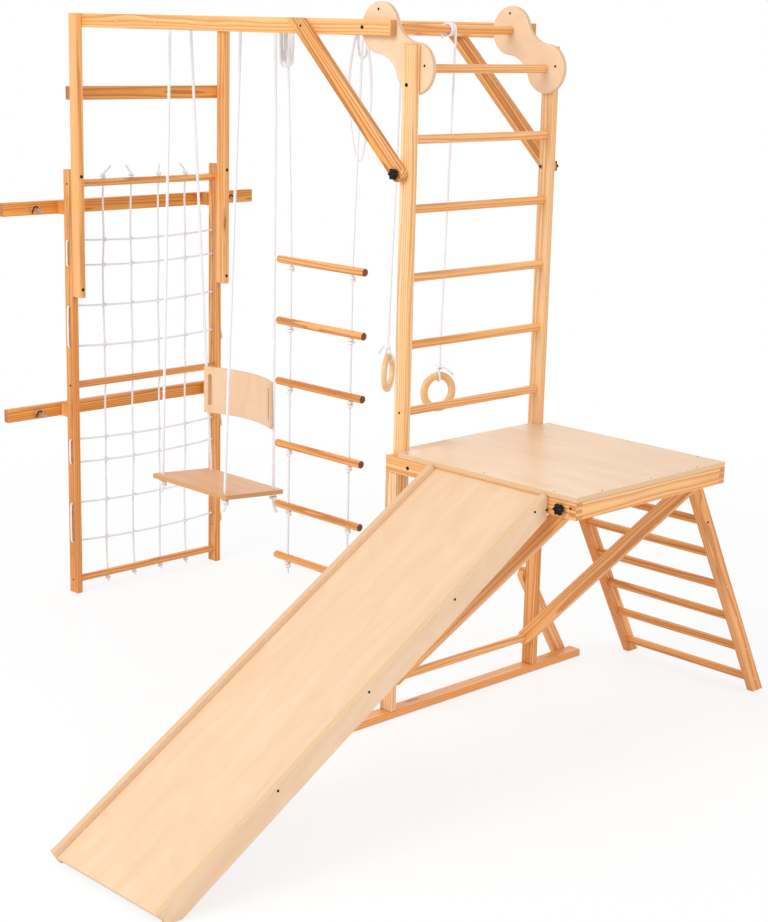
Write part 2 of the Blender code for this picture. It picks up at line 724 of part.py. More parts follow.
def build_swing():
    """Seat, backrest and the two ropes of the swing."""
    bars = [BAR_XS[i] for i in SWING_BARS]
    middle = sum(bars) / 2
    seat_low = SEAT_Z - SEAT_T
    seat = board("swing_seat", (middle - SEAT_L / 2, SEAT_Y - SEAT_W / 2, seat_low),
                 (middle + SEAT_L / 2, SEAT_Y + SEAT_W / 2, SEAT_Z), PLY)
    centre = Vector((middle, SEAT_Y, SEAT_Z))
    lean = Matrix.Translation(centre) @ Matrix.Rotation(-SEAT_TILT, 4, "X")
    seat.data.transform(lean @ Matrix.Translation(-centre))
    hole_ys = (SEAT_Y - SEAT_HOLES_W / 2, SEAT_Y + SEAT_HOLES_W / 2)
    runs = [((middle + side * SEAT_HOLES_L / 2, y, seat_low - SEAT_T),
             (middle + side * SEAT_HOLES_L / 2, y, SEAT_Z + SEAT_T))
            for side in (-1, 1) for y in hole_ys]
    cut(seat, drill("seat_holes", runs, SWING_ROPE_D / 2 + HOLE_CLEARANCE))
    pieces = [seat]
    step = SWING_ROPE_D + WINDING_GAP
    spread = SWING_LASH_Y[1] - SWING_LASH_Y[0] - 4 * step
    turns = [(step, 0.0, 0.0), (step, 0.0, 0.0), (spread, 0.0, 0.0), (step, 0.0, 0.0)]
    for label, bar, side in (("left", bars[0], 1), ("right", bars[1], -1)):
        x = middle - side * SEAT_HOLES_L / 2
        wound = over_bar(bar, side, SWING_LASH_Y[0], SWING_ROPE_D, turns)
        unders = [SEAT_Z - (y - SEAT_Y) * math.tan(SEAT_TILT) - SEAT_T / math.cos(SEAT_TILT)
                  for y in hole_ys]
        front = [(x, hole_ys[0], unders[0] + SEAT_T * share) for share in (0.5, 1.5)]
        rear = [(x, hole_ys[1], unders[1] + SEAT_T * share) for share in (1.5, 0.5)]
        run = knot_down(x, hole_ys[0], unders[0], SWING_ROPE_D)[::-1] + plain(front + wound + rear)
        run += knot_down(x, hole_ys[1], unders[1], SWING_ROPE_D)
        least_gap(f"swing_rope_{label}", run, SWING_ROPE_D)
        pieces.append(rope(f"swing_rope_{label}", [run], SWING_ROPE_D, ROPE))
    top = Vector(wound[-1])
    share = (BACKREST_Z + BACKREST_H / 2 - rear[0][2]) / (top.z - rear[0][2])
    passing = Vector(rear[0]).lerp(top, share)
    pieces.append(build_backrest(middle, passing))
    hang("swing_pivot", (middle, sum(SWING_LASH_Y) / 2, BEAM_Z - BAR_D), pieces)


def build_backrest(middle, passing):
    """A bowed plywood board with a slot near each end, just in front of the rear ropes."""
    half = BACKREST_L / 2
    radius = (half ** 2 + BACKREST_BOW ** 2) / (2 * BACKREST_BOW)
    sweep = math.asin(half / radius)
    rope_angle = math.asin((passing.x - middle) / radius)
    clear = BACKREST_T / 2 + SWING_ROPE_D / 2
    centre = (middle, passing.y - clear / math.cos(rope_angle) - radius * math.cos(rope_angle))
    outer = arc(centre, radius + BACKREST_T / 2, math.pi / 2 - sweep, math.pi / 2 + sweep, 12)
    inner = arc(centre, radius - BACKREST_T / 2, math.pi / 2 + sweep, math.pi / 2 - sweep, 12)
    bm = bmesh.new()
    add_prism(bm, outer + inner, "Z", BACKREST_Z - BACKREST_H / 2, BACKREST_Z + BACKREST_H / 2)
    back = add_object("swing_backrest", bm, PLY)
    slots = bmesh.new()
    for sign in (-1, 1):
        x = middle + sign * SLOT_X
        add_box(slots, (x - SLOT_W / 2, passing.y - BACKREST_BOW, BACKREST_Z - SLOT_H / 2),
                (x + SLOT_W / 2, passing.y + BACKREST_BOW, BACKREST_Z + SLOT_H / 2))
    cut(back, as_cutter(add_object("backrest_slots", slots, CUTTER)))
    return back


def build_rope_ladder():
    """Rungs and the two ropes of the rope ladder, with their spare length over the bars."""
    heights = [LADDER_TOP_Z - i * LADDER_PITCH - LADDER_SLIPS[i] for i in range(LADDER_RUNGS)]
    rope_xs = (LADDER_X - LADDER_ROPES_W / 2, LADDER_X + LADDER_ROPES_W / 2)
    low, high = heights[-1] - BAR_D, heights[0] + BAR_D
    holes = drill("ladder_holes", [((x, LADDER_Y, low), (x, LADDER_Y, high)) for x in rope_xs],
                  LADDER_ROPE_D / 2 + HOLE_CLEARANCE)
    pieces = []
    for i, z in enumerate(heights):
        run = ((LADDER_X - LADDER_RUNG_L / 2, LADDER_Y, z), (LADDER_X + LADDER_RUNG_L / 2, LADDER_Y, z))
        rung = rods(f"rope_ladder_rung_{i + 1}", [run], BAR_R, ORANGE_PINE)
        cut(rung, holes)
        pieces.append(rung)
    step = LADDER_ROPE_D + WINDING_GAP
    slack = {
        "left": [(step, 0.0, 0.0), (step, 0.150, 0.004), (step, 0.135, 0.009), (step, 0.145, 0.002)],
        "right": [(-step, 0.0, 0.0), (-step, 0.110, 0.006), (-step, 0.480, 0.040)],
    }
    for index, label in enumerate(("left", "right")):
        bar, x = BAR_XS[LADDER_BARS[index]], rope_xs[index]
        side = 1 if label == "left" else -1
        start = LADDER_LASH_Y[index] - sum(turn[0] for turn in slack[label])
        wound = over_bar(bar, side, start, LADDER_ROPE_D, slack[label])
        run = plain(wound)
        for z in heights:
            run += plain([(x, LADDER_Y, z + BAR_R + LADDER_ROPE_D / 2)])
            run += knot_down(x, LADDER_Y, z - BAR_R, LADDER_ROPE_D)
        least_gap(f"rope_ladder_cord_{label}", run, LADDER_ROPE_D)
        pieces.append(rope(f"rope_ladder_cord_{label}", [run], LADDER_ROPE_D, ROPE))
    hang("rope_ladder_pivot", (LADDER_X, LADDER_Y, BEAM_Z - BAR_D), pieces)


def build_rings():
    """The two rings and their ropes."""
    labels = ("wall_side", "tower_side")
    spots = zip(labels, RING_BARS, RING_Y, RING_Z, RING_YAW, RING_TAILS)
    for label, bar, y, z, yaw, tail in spots:
        x = BAR_XS[bar]
        ring = add_ring(f"ring_{label}", (x, y, z), yaw, PLY)
        step = RING_ROPE_D + WINDING_GAP
        wound = over_bar(x, -1, y - 1.5 * step, RING_ROPE_D, [(step, 0.0, 0.0), (step, 0.0, 0.0)])
        run = plain(wound + ring_eye(Vector((x, y, z)), yaw, tail))
        least_gap(f"ring_cord_{label}", run, RING_ROPE_D)
        cord = rope(f"ring_cord_{label}", [run], RING_ROPE_D, ROPE)
        hang(f"ring_pivot_{label}", (x, y, BEAM_Z - BAR_D), [ring, cord])


def ring_eye(centre, yaw, tail):
    """The rope down to a ring, round its top and back up to a short stiff tail beside itself."""
    axial = Vector((math.cos(yaw), math.sin(yaw), 0))
    across = Vector((-math.sin(yaw), math.cos(yaw), 0))
    hub = centre + Vector((0, 0, (RING_D - RING_WIDTH) / 2))
    d = RING_ROPE_D
    flank = RING_T * 0.49 + d / 2 + ROPE_SEAT
    under = RING_WIDTH * 0.49 + d / 2 + ROPE_SEAT
    spots = (
        (0.0, d * 12.5, -0.5), (0.0, d * 3.75, -0.5), (flank, d * 0.88, -0.45),
        (flank, -d * 0.88, -0.22), (flank * 0.44, -under, -0.07), (-flank * 0.44, -under, 0.07),
        (-flank, -d * 0.88, 0.22), (-flank, d * 0.88, 0.58), (-d * 1.3, d * 2.75, 1.06),
        (-d * 1.6, d * 4.1, 1.3), (-d * 2.5, d * 4.5, 1.3 + tail / 4),
        (-d * 3.6, d * 3.6, 1.3 + tail / 2), (-d * 5.0, d * 1.0, 1.3 + tail),
    )
    return [hub + axial * u + Vector((0, 0, v)) + across * (w * d) for u, v, w in spots]


def build_net():
    """Upright ropes through the wall rungs, and two ropes laced through the posts."""
    aside = (NET_ROPE_D + WINDING_GAP) / 2
    bottom, middle, top = WALL_RUNG_HEIGHTS
    clear, swerve = BAR_R + ROPE_STAND * 2, ROPE_SWERVE
    levels = [(bottom, 0), (bottom + clear, 0), (bottom + swerve, 1),
              (middle - swerve, 1), (middle - clear, 0), (middle + clear, 0),
              (middle + swerve, 1), (top - swerve, 1), (top - clear, 0), (top, 0)]
    crown = top + BAR_R
    for index, y in enumerate(NET_YS):
        run = knot_down(NET_X, y, bottom - BAR_R, NET_ROPE_D)[:-1][::-1]
        run += plain([(NET_X - off * aside, y, z) for z, off in levels])
        for rise, size in ((0.06, 1.0), (0.35, KNOT_SCALE), (1.25, KNOT_SCALE), (1.9, 1.0)):
            run.append((Vector((NET_X, y, crown + rise * NET_ROPE_D)), size))
        reach = NET_TAIL * 0.7
        run += plain([(NET_X, y + reach, crown + 1.9 * NET_ROPE_D + reach)])
        rope(f"net_upright_{index + 1}", [run], NET_ROPE_D, ROPE)
    for label, rows in (("upper", NET_ROWS_UPPER), ("lower", NET_ROWS_LOWER)):
        rope(f"net_lacing_{label}", [lacing(rows, aside)], NET_ROPE_D, ROPE)


def lacing(rows, aside):
    """One rope to and fro between the posts, knotted outside the rear post at both ends."""
    mouth = OUTER_Y + ROPE_STAND
    outside = OUTER_Y + NET_ROPE_D / 2 + ROPE_STAND
    inside = MID_Y - LACE_EASE
    bend = NET_ROPE_D / 2
    side = 1
    run = end_knot(rows[0], side)[::-1]
    for index, z in enumerate(rows):
        if index:
            run += plain([(NET_X, side * outside, z + bend), (NET_X, side * mouth, z)])
        for k in range(9):
            share = k / 8
            off = aside if 0 < k < 8 else 0.0
            sag = NET_SAG * math.sin(math.pi * share)
            run += plain([(NET_X + off, side * inside * (1 - 2 * share), z - sag)])
        side = -side
        if index < len(rows) - 1:
            run += plain([(NET_X, side * mouth, z), (NET_X, side * outside, z - bend)])
    return run + end_knot(rows[-1], side)


def end_knot(z, side):
    """A knot outside a post with a short tail that hangs down."""
    spots = ((0.09, 0.0, 1.0), (0.4, 0.0, KNOT_SCALE), (1.4, 0.0, KNOT_SCALE), (2.0, -0.5, 1.0),
             (3.2, -5.6, 1.0))
    return [(Vector((NET_X, side * (OUTER_Y + out * NET_ROPE_D), z + drop * NET_ROPE_D)), size)
            for out, drop, size in spots]


for old in list(bpy.data.objects):
    bpy.data.objects.remove(old, do_unlink=True)

PINE = material("light_pine", (0.93, 0.56, 0.29), 0.45)
PALE_PINE = material("pale_pine", (0.92, 0.65, 0.43), 0.45)
ORANGE_PINE = material("orange_pine", (0.80, 0.38, 0.14), 0.45)
PLY = material("birch_plywood", (0.90, 0.64, 0.42), 0.42)
ROPE = material("white_rope", (0.92, 0.91, 0.91), 0.85)
BLACK = material("black_plastic", (0.02, 0.02, 0.022), 0.4)
CUTTER = material("cutter", (0.5, 0.5, 0.5), 0.5)

build_tower()
build_overhead()
build_platform()
build_side_ladder()
build_slide()
build_wall_ladder()
build_knobs()
build_swing()
build_rope_ladder()
build_rings()
build_net()
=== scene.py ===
import math
import random

import bmesh
import bpy
from mathutils import Matrix, Vector
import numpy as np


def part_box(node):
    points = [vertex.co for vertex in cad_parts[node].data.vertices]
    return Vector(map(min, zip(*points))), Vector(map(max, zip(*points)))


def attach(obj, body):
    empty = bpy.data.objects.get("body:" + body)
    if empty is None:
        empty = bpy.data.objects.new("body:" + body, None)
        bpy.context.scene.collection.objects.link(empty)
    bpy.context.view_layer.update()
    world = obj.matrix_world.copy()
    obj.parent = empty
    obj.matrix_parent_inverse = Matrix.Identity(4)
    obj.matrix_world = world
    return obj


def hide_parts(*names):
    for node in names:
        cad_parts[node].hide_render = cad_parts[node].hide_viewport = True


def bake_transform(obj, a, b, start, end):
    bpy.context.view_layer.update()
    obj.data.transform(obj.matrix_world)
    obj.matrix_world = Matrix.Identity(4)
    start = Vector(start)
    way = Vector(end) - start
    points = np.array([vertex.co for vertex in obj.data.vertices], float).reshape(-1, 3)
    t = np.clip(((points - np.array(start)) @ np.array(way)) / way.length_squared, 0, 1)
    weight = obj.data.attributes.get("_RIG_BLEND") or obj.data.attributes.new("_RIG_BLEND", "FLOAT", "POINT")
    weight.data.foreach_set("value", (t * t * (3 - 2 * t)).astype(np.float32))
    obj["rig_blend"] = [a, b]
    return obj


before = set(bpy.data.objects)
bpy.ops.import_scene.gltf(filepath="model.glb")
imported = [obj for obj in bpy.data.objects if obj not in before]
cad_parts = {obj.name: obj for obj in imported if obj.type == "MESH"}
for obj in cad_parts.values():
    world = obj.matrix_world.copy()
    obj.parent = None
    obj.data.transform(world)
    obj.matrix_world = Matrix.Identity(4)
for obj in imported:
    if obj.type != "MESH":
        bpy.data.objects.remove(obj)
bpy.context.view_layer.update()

# Sizes shared with the solids, in metres
GAP = 0.0003
POST_W, POST_T, PLY_T = 0.054, 0.028, 0.018
BAR_R = 0.015
INNER_Y = 0.335
MID_Y = INNER_Y + POST_T + GAP
OUTER_Y = MID_Y + POST_T
TOWER_H = 2.330
RUNG_PITCH, RUNG_COUNT, FIRST_RUNG_Z = 0.230, 6, 1.102
GRIP_Z = FIRST_RUNG_Z + (RUNG_COUNT - 1) * RUNG_PITCH
PLATFORM_H, PLATFORM_REACH, RAIL_BACK = 0.972, 0.820, 0.031
RAIL_TOP = PLATFORM_H - PLY_T - GAP
RAIL_BOTTOM = RAIL_TOP - 0.056
RAIL_MID_Z = (RAIL_TOP + RAIL_BOTTOM) / 2
UPRIGHT_FOOT, DECK_TONGUE_X, FINGERS = RAIL_BOTTOM - 0.178, -0.012, 5
BASE_RUNG_Z, BRACE_KNOB_X = 0.138, 0.759
LOWER_POST_X = -RAIL_BACK + POST_W / 2
STRUT_BOLT_Z, STRUT_SPREAD = 0.372, 0.213
STRUT_FRONT_X = -RAIL_BACK - GAP
BEAM_Z = 2.380
BEAM_TOP = BEAM_Z + POST_W / 2
BAR_XS = [-0.169 - 0.239 * i for i in range(7)]
BEAM_END_X = BAR_XS[0] + 0.081
PLATE_R, PLATE_WAIST = 0.0855, 0.106
KNEE_SCREW_X, KNEE_KNOB_X, KNEE_KNOB_Z = -0.511, -0.016, 1.910
WALL_X = -1.887
NET_X = WALL_X - POST_W / 2
WALL_RUNG_HEIGHTS = (0.057, 0.900, 1.733)
WALL_BOARD_HEIGHTS = (0.788, 1.633)
WALL_BOARD_HALF = 0.650
SPACER_T, ANCHOR_Y = 0.046, 0.510
SIDE_LADDER_X, SIDE_LADDER_W, SIDE_LEAN = 0.3985, 0.617, math.radians(28.6)
SIDE_LADDER_TOP, SIDE_LADDER_TOP_Y = RAIL_BOTTOM - GAP, MID_Y + POST_T / 2
SIDE_RUNGS = [0.052 + i * 0.152 * math.cos(SIDE_LEAN) for i in range(6)]
SLIDE_X, SLIDE_W, SLIDE_ANGLE = 0.445, 0.519, math.radians(31.2)
SLIDE_BOARD_T, SLIDE_BOARD_D, SLIDE_NOSE_H = 0.020, 0.078, 0.042
SLIDE_LIP, SLIDE_DECK_T, SLIDE_TOP_R, SLIDE_BATTENS = 0.020, 0.012, 0.014, 4
SLIDE_BACK_Y = -OUTER_Y - GAP
SWING_ROPE_D, LADDER_ROPE_D, RING_ROPE_D, NET_ROPE_D = 0.0115, 0.010, 0.008, 0.008
WINDING_GAP, ROPE_TAIL, TURN_STEPS, KNOT_TURNS = 0.0008, 0.030, 24, 1.6
SWING_LASH_Y = (-0.121, 0.018)
SEAT_L, SEAT_W, SEAT_T, SEAT_Z, SEAT_Y = 0.478, 0.305, 0.020, 0.544, -0.050
SEAT_TILT = math.radians(4.3)
SEAT_HOLES_L, SEAT_HOLES_W = 0.405, 0.255
BACKREST_L, BACKREST_H, BACKREST_Z, BACKREST_T, BACKREST_BOW = 0.430, 0.195, 0.885, 0.009, 0.050
SLOT_H, SLOT_W, SLOT_X = 0.135, 0.016, 0.189
LADDER_LASH_Y = (-0.105, 0.034)
LADDER_X, LADDER_Y, LADDER_RUNG_L, LADDER_ROPES_W = -0.7455, -0.055, 0.482, 0.343
LADDER_SLIPS = (0.0, 0.0, 0.0, 0.012, 0.020, -0.006)
LADDER_HEIGHTS = [1.503 - i * 0.238 - LADDER_SLIPS[i] for i in range(6)]
RING_Y, RING_Z = (-0.020, 0.0), (1.142, 1.105)
RING_YAW = (math.radians(31.0), math.radians(166.0))
RING_TAILS = (0.0, -6.0)
RING_D, RING_WIDTH, RING_T = 0.145, 0.027, 0.019
NET_YS = [(i - 1.5) * 0.142 for i in range(4)]
NET_ROWS = {"upper": (1.503, 1.400, 1.232, 1.063), "lower": (0.667, 0.567, 0.392, 0.225)}
NET_SAG, NET_TAIL, NET_LEANS = 0.012, 0.055, (1.0, -0.7, 0.15, -0.8)
ROPE_SEAT, ROPE_STAND, ROPE_SWERVE, LACE_EASE = 0.0005, 0.0015, 0.060, 0.012
KNOB_R, KNOB_LOBE, KNOB_H, HUB_R, HUB_H = 0.018, 0.0022, 0.022, 0.012, 0.006
PLATE_FACE_Y = INNER_Y - GAP - PLY_T
SIDES, LEFT_RIGHT = (("front", -1), ("rear", 1)), (("left", -1), ("right", 1))
X, Y, Z = Vector((1, 0, 0)), Vector((0, 1, 0)), Vector((0, 0, 1))

# Details that only this script shows
LACE_HOLE_R, SPARE_HOLE_R = 0.0052, 0.0048
SPARE_HOLES = (1.560, 1.005, 0.731, 0.170)
TIMBER_EASE, ROD_EASE, LADDER_ROD_EASE = 0.0025, 0.0006, 0.002
SEAT_EASE, SLIDE_EASE, PLY_EASE, CLOSE_EASE = 0.004, 0.003, 0.002, 0.0012
TIP_RISE, TIP_WIDTH, KNOT_DROP = 0.45, 0.62, 1.35
LASHING_DROP, FREE_DROP = 0.022, 0.20
SWING_TAILS = ((-0.006, 0.024), (0.012, 0.050))
RING_STEPS, RING_SIDES, RING_SQUARENESS = 72, 24, 3.4
KNOB_STEPS, KNOB_LOBES = 96, 6
PLATE_BOLT, BEAM_BOLT, RAIL_BOLT_X = (-0.006, TOWER_H - 0.131), (-0.223, BEAM_Z), 0.076
WALL_BOLTS = (1.309, 1.767)
PLATE_SCREWS = ((-0.175, BEAM_Z + 0.060), (0.047, GRIP_Z + 0.010))
KNEE_SCREW, RAIL_SCREW = (KNEE_SCREW_X + 0.010, BEAM_Z), (0.797, RAIL_MID_Z + 0.008)
SLIDE_SCREWS = ((-0.397, 0.911), (-0.453, 0.914), (-0.806, 0.700), (-1.159, 0.489), (-1.508, 0.279))
DECK_SCREW_XS, DECK_SCREW_YS, TOP_RAIL_SCREW_Z = (0.055, 0.413, 0.716), (-0.25, 0.0, 0.25), 2.095
HEAD_PROFILE = ((0.0, 1.0), (0.25, 1.0), (0.6, 0.93), (0.88, 0.72), (1.0, 0.50), (1.0, 0.36),
                (0.55, 0.34), (0.55, 0.0))
STUD_WASHER = ((0.0, 0.0085), (0.0012, 0.0085), (0.0014, 0.0080))
ANCHOR_WASHER = ((0.0, 0.007), (0.0014, 0.007), (0.0018, 0.0064), (0.0018, 0.0))
ANCHOR_HEX = ((0.0016, 0.0048), (0.0050, 0.0048), (0.0056, 0.0042), (0.0056, 0.0))
HOOK = ((0.004, -0.002, -0.018), (0.012, -0.007, -0.012), (0.018, -0.008, -0.001),
        (0.020, -0.002, 0.008), (0.020, 0.007, 0.009), (0.019, 0.012, 0.003))
COIL_R = 0.0070

# Camera and lamps
CAMERA_PLACE, LENS = (4.3031, -4.6500, 2.3827), 70.95
CAMERA_RIGHT = Vector((0.69593224, 0.71771863, 0.02362817))
CAMERA_UP = Vector((-0.18285471, 0.14529338, 0.97234458))
CAMERA_BACK = Vector((0.69443681, -0.68100646, 0.23235258))
LAMPS = (("key_light", (-0.5, -6.5, 5.0), 4.0, 245.0), ("fill_light", (6.5, 0.5, 4.0), 5.0, 110.0),
         ("back_light", (-5.0, 4.0, 5.0), 5.0, 80.0))
LAMP_TARGET = Vector((-0.4, -0.2, 1.0))
WORLD_LIGHT, FLOOR_FADE = 0.72, (2.4, 4.6)

random.seed(7)


# Materials

def feed(tree, node, inputs):
    """Link the sockets among a node's inputs and set the plain values."""
    for key, value in inputs.items():
        if isinstance(value, bpy.types.NodeSocket):
            tree.links.new(value, node.inputs[key])
        else:
            node.inputs[key].default_value = value


def add(tree, kind, inputs=None, **settings):
    """Add a shader node and set it up."""
    node = tree.nodes.new(kind)
    for key, value in settings.items():
        setattr(node, key, value)
    feed(tree, node, inputs or {})
    return node


class Surface:
    """A material, with short calls for the nodes that its colour and relief are made of."""

    def __init__(self, name):
        self.material = bpy.data.materials.new(name)
        self.material.use_nodes = True
        self.tree = self.material.node_tree
        self.shader = self.tree.nodes["Principled BSDF"]

    def add(self, kind, inputs=None, **settings):
        return add(self.tree, kind, inputs, **settings)

    def attribute(self, name):
        return self.add("ShaderNodeAttribute", attribute_name=name).outputs["Vector"]

    def split(self, vector):
        return self.add("ShaderNodeSeparateXYZ", {0: vector}).outputs

    def calc(self, operation, a, b=0.0, clamp=False):
        return self.add("ShaderNodeMath", {0: a, 1: b}, operation=operation, use_clamp=clamp).outputs[0]

    def plus(self, a, b):
        return self.calc("ADD", a, b)

    def times(self, a, b):
        return self.calc("MULTIPLY", a, b)

    def ramp(self, value, low, high):
        """0 at low and 1 at high, and level beyond them."""
        return self.add("ShaderNodeMapRange", {0: value, 1: low, 2: high, 3: 0.0, 4: 1.0},
                        interpolation_type="SMOOTHSTEP").outputs[0]

    def stretch(self, vector, scale):
        return self.add("ShaderNodeVectorMath", {0: vector, 1: scale}, operation="MULTIPLY").outputs[0]

    def noise(self, vector, scale, detail=2.0, roughness=0.5):
        """Noise with its own scale along each grain direction."""
        return self.add("ShaderNodeTexNoise", {"Vector": self.stretch(vector, scale), "Scale": 1.0,
                                               "Detail": detail, "Roughness": roughness}).outputs["Fac"]

    def layer(self, tone, *layers):
        """Lay colours over a tone, each by a share of a pattern."""
        for pattern, share, colour in layers:
            under = (*tone, 1) if isinstance(tone, tuple) else tone
            tone = self.add("ShaderNodeMix", {0: self.times(pattern, share), 6: under, 7: (*colour, 1)},
                            data_type="RGBA").outputs[2]
        return tone

    def finish(self, tone, roughness, height, strength, distance, **constants):
        """Connect the colour and the relief, and set the shader's other values."""
        bump = self.add("ShaderNodeBump", {"Height": height, "Strength": strength, "Distance": distance})
        feed(self.tree, self.shader, {"Base Color": tone, "Roughness": roughness, "Normal": bump.outputs[0]})
        feed(self.tree, self.shader, {key.replace("_", " "): value for key, value in constants.items()})
        return self.material


def shaded(colour, share):
    return tuple(share * c for c in colour)


def wood(name, pale, deep, late, ring_share=0.70, streak_share=0.85, knots=0.72):
    """Lacquered softwood: growth rings about a pith, streaks, fibres and a few knots."""
    s = Surface(name)
    g = s.attribute("grain")
    _, across, through = s.split(g)
    warp = s.noise(g, (1.1, 9.0, 9.0))
    wide = s.noise(g, (0.5, 22.0, 22.0))
    knot = s.add("ShaderNodeTexVoronoi", {"Vector": s.stretch(g, (3.1, 13.0, 13.0)), "Scale": 1.0})
    chance = s.add("ShaderNodeSeparateColor", {0: knot.outputs["Color"]}).outputs[0]
    gate = s.calc("GREATER_THAN", chance, knots)
    halo = s.times(gate, s.ramp(knot.outputs["Distance"], 0.34, 0.05))
    eye = s.times(gate, s.ramp(knot.outputs["Distance"], 0.13, 0.07))
    square = s.plus(s.calc("POWER", across, 2.0), s.calc("POWER", through, 2.0))
    radius = s.plus(s.calc("SQRT", square), s.times(warp, 0.030))
    radius = s.plus(radius, s.times(halo, 0.008))
    phase = s.calc("FRACT", s.calc("DIVIDE", radius, 0.0082))
    ring = s.times(s.ramp(phase, 0.25, 0.90), s.ramp(phase, 1.0, 0.93))
    fibre = s.noise(g, (18.0, 900.0, 900.0))
    streak = s.ramp(s.noise(g, (0.9, 75.0, 75.0), 3.0, 0.6), 0.36, 0.68)
    tone = s.layer(pale, (s.ramp(wide, 0.3, 0.7), streak_share, deep), (streak, streak_share * 0.6, deep),
                   (ring, ring_share, late), (s.ramp(fibre, 0.35, 0.75), 0.16, late),
                   (halo, 0.35, late), (eye, 0.75, shaded(late, 0.45)))
    height = s.plus(s.times(ring, 0.6), s.times(fibre, 0.5))
    return s.finish(tone, s.plus(s.times(fibre, 0.14), 0.36), height, 0.10, 0.0006,
                    Coat_Weight=0.12, Coat_Roughness=0.30)


def plywood(name, pale, deep):
    """The lacquered face of birch plywood: long soft figure and short fine pores."""
    s = Surface(name)
    g = s.attribute("grain")
    warp = s.noise(g, (0.9, 3.2, 0.4), 3.0, 0.55)
    figure = s.calc("FRACT", s.times(warp, 13.0))
    figure = s.times(s.ramp(figure, 0.1, 0.8), s.ramp(figure, 1.0, 0.86))
    cloud = s.ramp(s.noise(g, (2.2, 16.0, 1.0), 3.0), 0.35, 0.7)
    pore = s.ramp(s.noise(g, (110.0, 1500.0, 200.0), 1.0), 0.62, 0.78)
    tone = s.layer(pale, (cloud, 0.45, deep), (figure, 0.30, deep), (pore, 0.30, shaded(deep, 0.62)))
    height = s.calc("SUBTRACT", s.times(figure, 0.4), pore)
    return s.finish(tone, s.plus(s.times(cloud, 0.08), 0.34), height, 0.08, 0.0004,
                    Coat_Weight=0.15, Coat_Roughness=0.28)


def plywood_edge(name, pale, dark):
    """The cut edge of plywood: pale and dark plies in turn across the thickness."""
    s = Surface(name)
    g = s.attribute("grain")
    wobble = s.times(s.noise(g, (14.0, 14.0, 14.0)), 0.0007)
    phase = s.calc("FRACT", s.calc("DIVIDE", s.plus(s.split(g)[2], wobble), 0.0028))
    stripe = s.times(s.ramp(phase, 0.42, 0.52), s.ramp(phase, 0.98, 0.90))
    fibre = s.noise(g, (420.0, 420.0, 900.0))
    tone = s.layer(pale, (stripe, 1.0, dark), (s.ramp(fibre, 0.4, 0.75), 0.15, shaded(dark, 0.6)))
    return s.finish(tone, 0.55, fibre, 0.15, 0.0005)


def braided_rope(name, colour, shade):
    """White braided rope: two crossing sets of strands, with fibres along each."""
    s = Surface(name)
    place = s.split(s.attribute("braid"))
    turn, run = s.times(place[0], 4.0), s.times(place[1], 2.0)
    waves = []
    for sign in (1.0, -1.0):
        crossed = s.plus(turn, s.times(run, sign))
        waves.append(s.calc("ABSOLUTE", s.calc("SINE", s.times(crossed, math.pi))))
    strands = s.times(*waves)
    around = s.times(place[0], 2 * math.pi)
    point = s.add("ShaderNodeCombineXYZ", {0: s.times(s.calc("COSINE", around), 6.0),
                                           1: s.times(s.calc("SINE", around), 6.0),
                                           2: s.times(place[1], 5.0)})
    fuzz = s.add("ShaderNodeTexNoise", {"Vector": point.outputs[0], "Scale": 2.5, "Detail": 3.0}).outputs[0]
    # The grooves between the strands take the shade colour: painted shade in the creases of the braid. The
    # fuzz darkens fibres at random with the same colour.
    tone = s.layer(colour, (s.ramp(strands, 0.42, 0.05), 0.55, shade), (fuzz, 0.14, shade))
    height = s.plus(strands, s.times(fuzz, 0.35))
    return s.finish(tone, 0.82, height, 0.55, 0.0012, Sheen_Weight=0.15)


def speckled(name, colour, light, roughness, metallic=0.0, scale=900.0, strength=0.2, gloss=0.4):
    """A moulded or plated surface with a fine even grain."""
    s = Surface(name)
    where = s.add("ShaderNodeTexCoord").outputs["Object"]
    fine, broad = (s.add("ShaderNodeTexNoise", {"Vector": where, "Scale": size, "Detail": 2.0}).outputs[0]
                   for size in (scale, 60.0))
    tone = s.layer(colour, (s.ramp(broad, 0.35, 0.75), 1.0, light))
    return s.finish(tone, s.plus(s.times(broad, 0.12), roughness - 0.06), fine, strength, 0.0003,
                    Metallic=metallic, Specular_IOR_Level=gloss)


PINE = wood("light_pine", (0.98, 0.61, 0.29), (0.90, 0.41, 0.11), (0.58, 0.20, 0.035))
PALE_PINE = wood("pale_pine", (0.96, 0.67, 0.40), (0.90, 0.51, 0.20), (0.62, 0.27, 0.07))
ORANGE_PINE = wood("orange_pine", (0.96, 0.50, 0.17), (0.80, 0.30, 0.055), (0.44, 0.12, 0.015))
STREAKY_PINE = wood("streaky_pine", (0.96, 0.56, 0.23), (0.80, 0.33, 0.07), (0.42, 0.13, 0.015),
                    ring_share=0.85, streak_share=1.0, knots=0.55)
BOARD_PINE = wood("board_pine", (0.93, 0.46, 0.11), (0.78, 0.29, 0.035), (0.46, 0.12, 0.010),
                  ring_share=0.75, streak_share=0.95, knots=0.55)
PINE_END = wood("pine_end", (0.80, 0.42, 0.16), (0.66, 0.28, 0.08), (0.34, 0.10, 0.025))
ORANGE_END = wood("orange_end", (0.62, 0.25, 0.075), (0.48, 0.16, 0.04), (0.26, 0.07, 0.015))
RED_END = wood("stained_end", (0.30, 0.08, 0.022), (0.20, 0.045, 0.012), (0.08, 0.015, 0.005))
PLY = plywood("birch_face", (0.84, 0.60, 0.40), (0.77, 0.50, 0.29))
PLY_EDGE = plywood_edge("birch_edge", (0.84, 0.58, 0.36), (0.66, 0.41, 0.22))
# The seat's plywood, face and edge, is darker and more orange than the backrest's: painted shade on the
# seat.
SEAT_PLY = plywood("seat_face", (0.79, 0.42, 0.19), (0.71, 0.34, 0.135))
SEAT_EDGE = plywood_edge("seat_edge", (0.76, 0.42, 0.18), (0.54, 0.26, 0.09))
RING_PLY = plywood("ring_face", (0.86, 0.56, 0.28), (0.76, 0.42, 0.16))
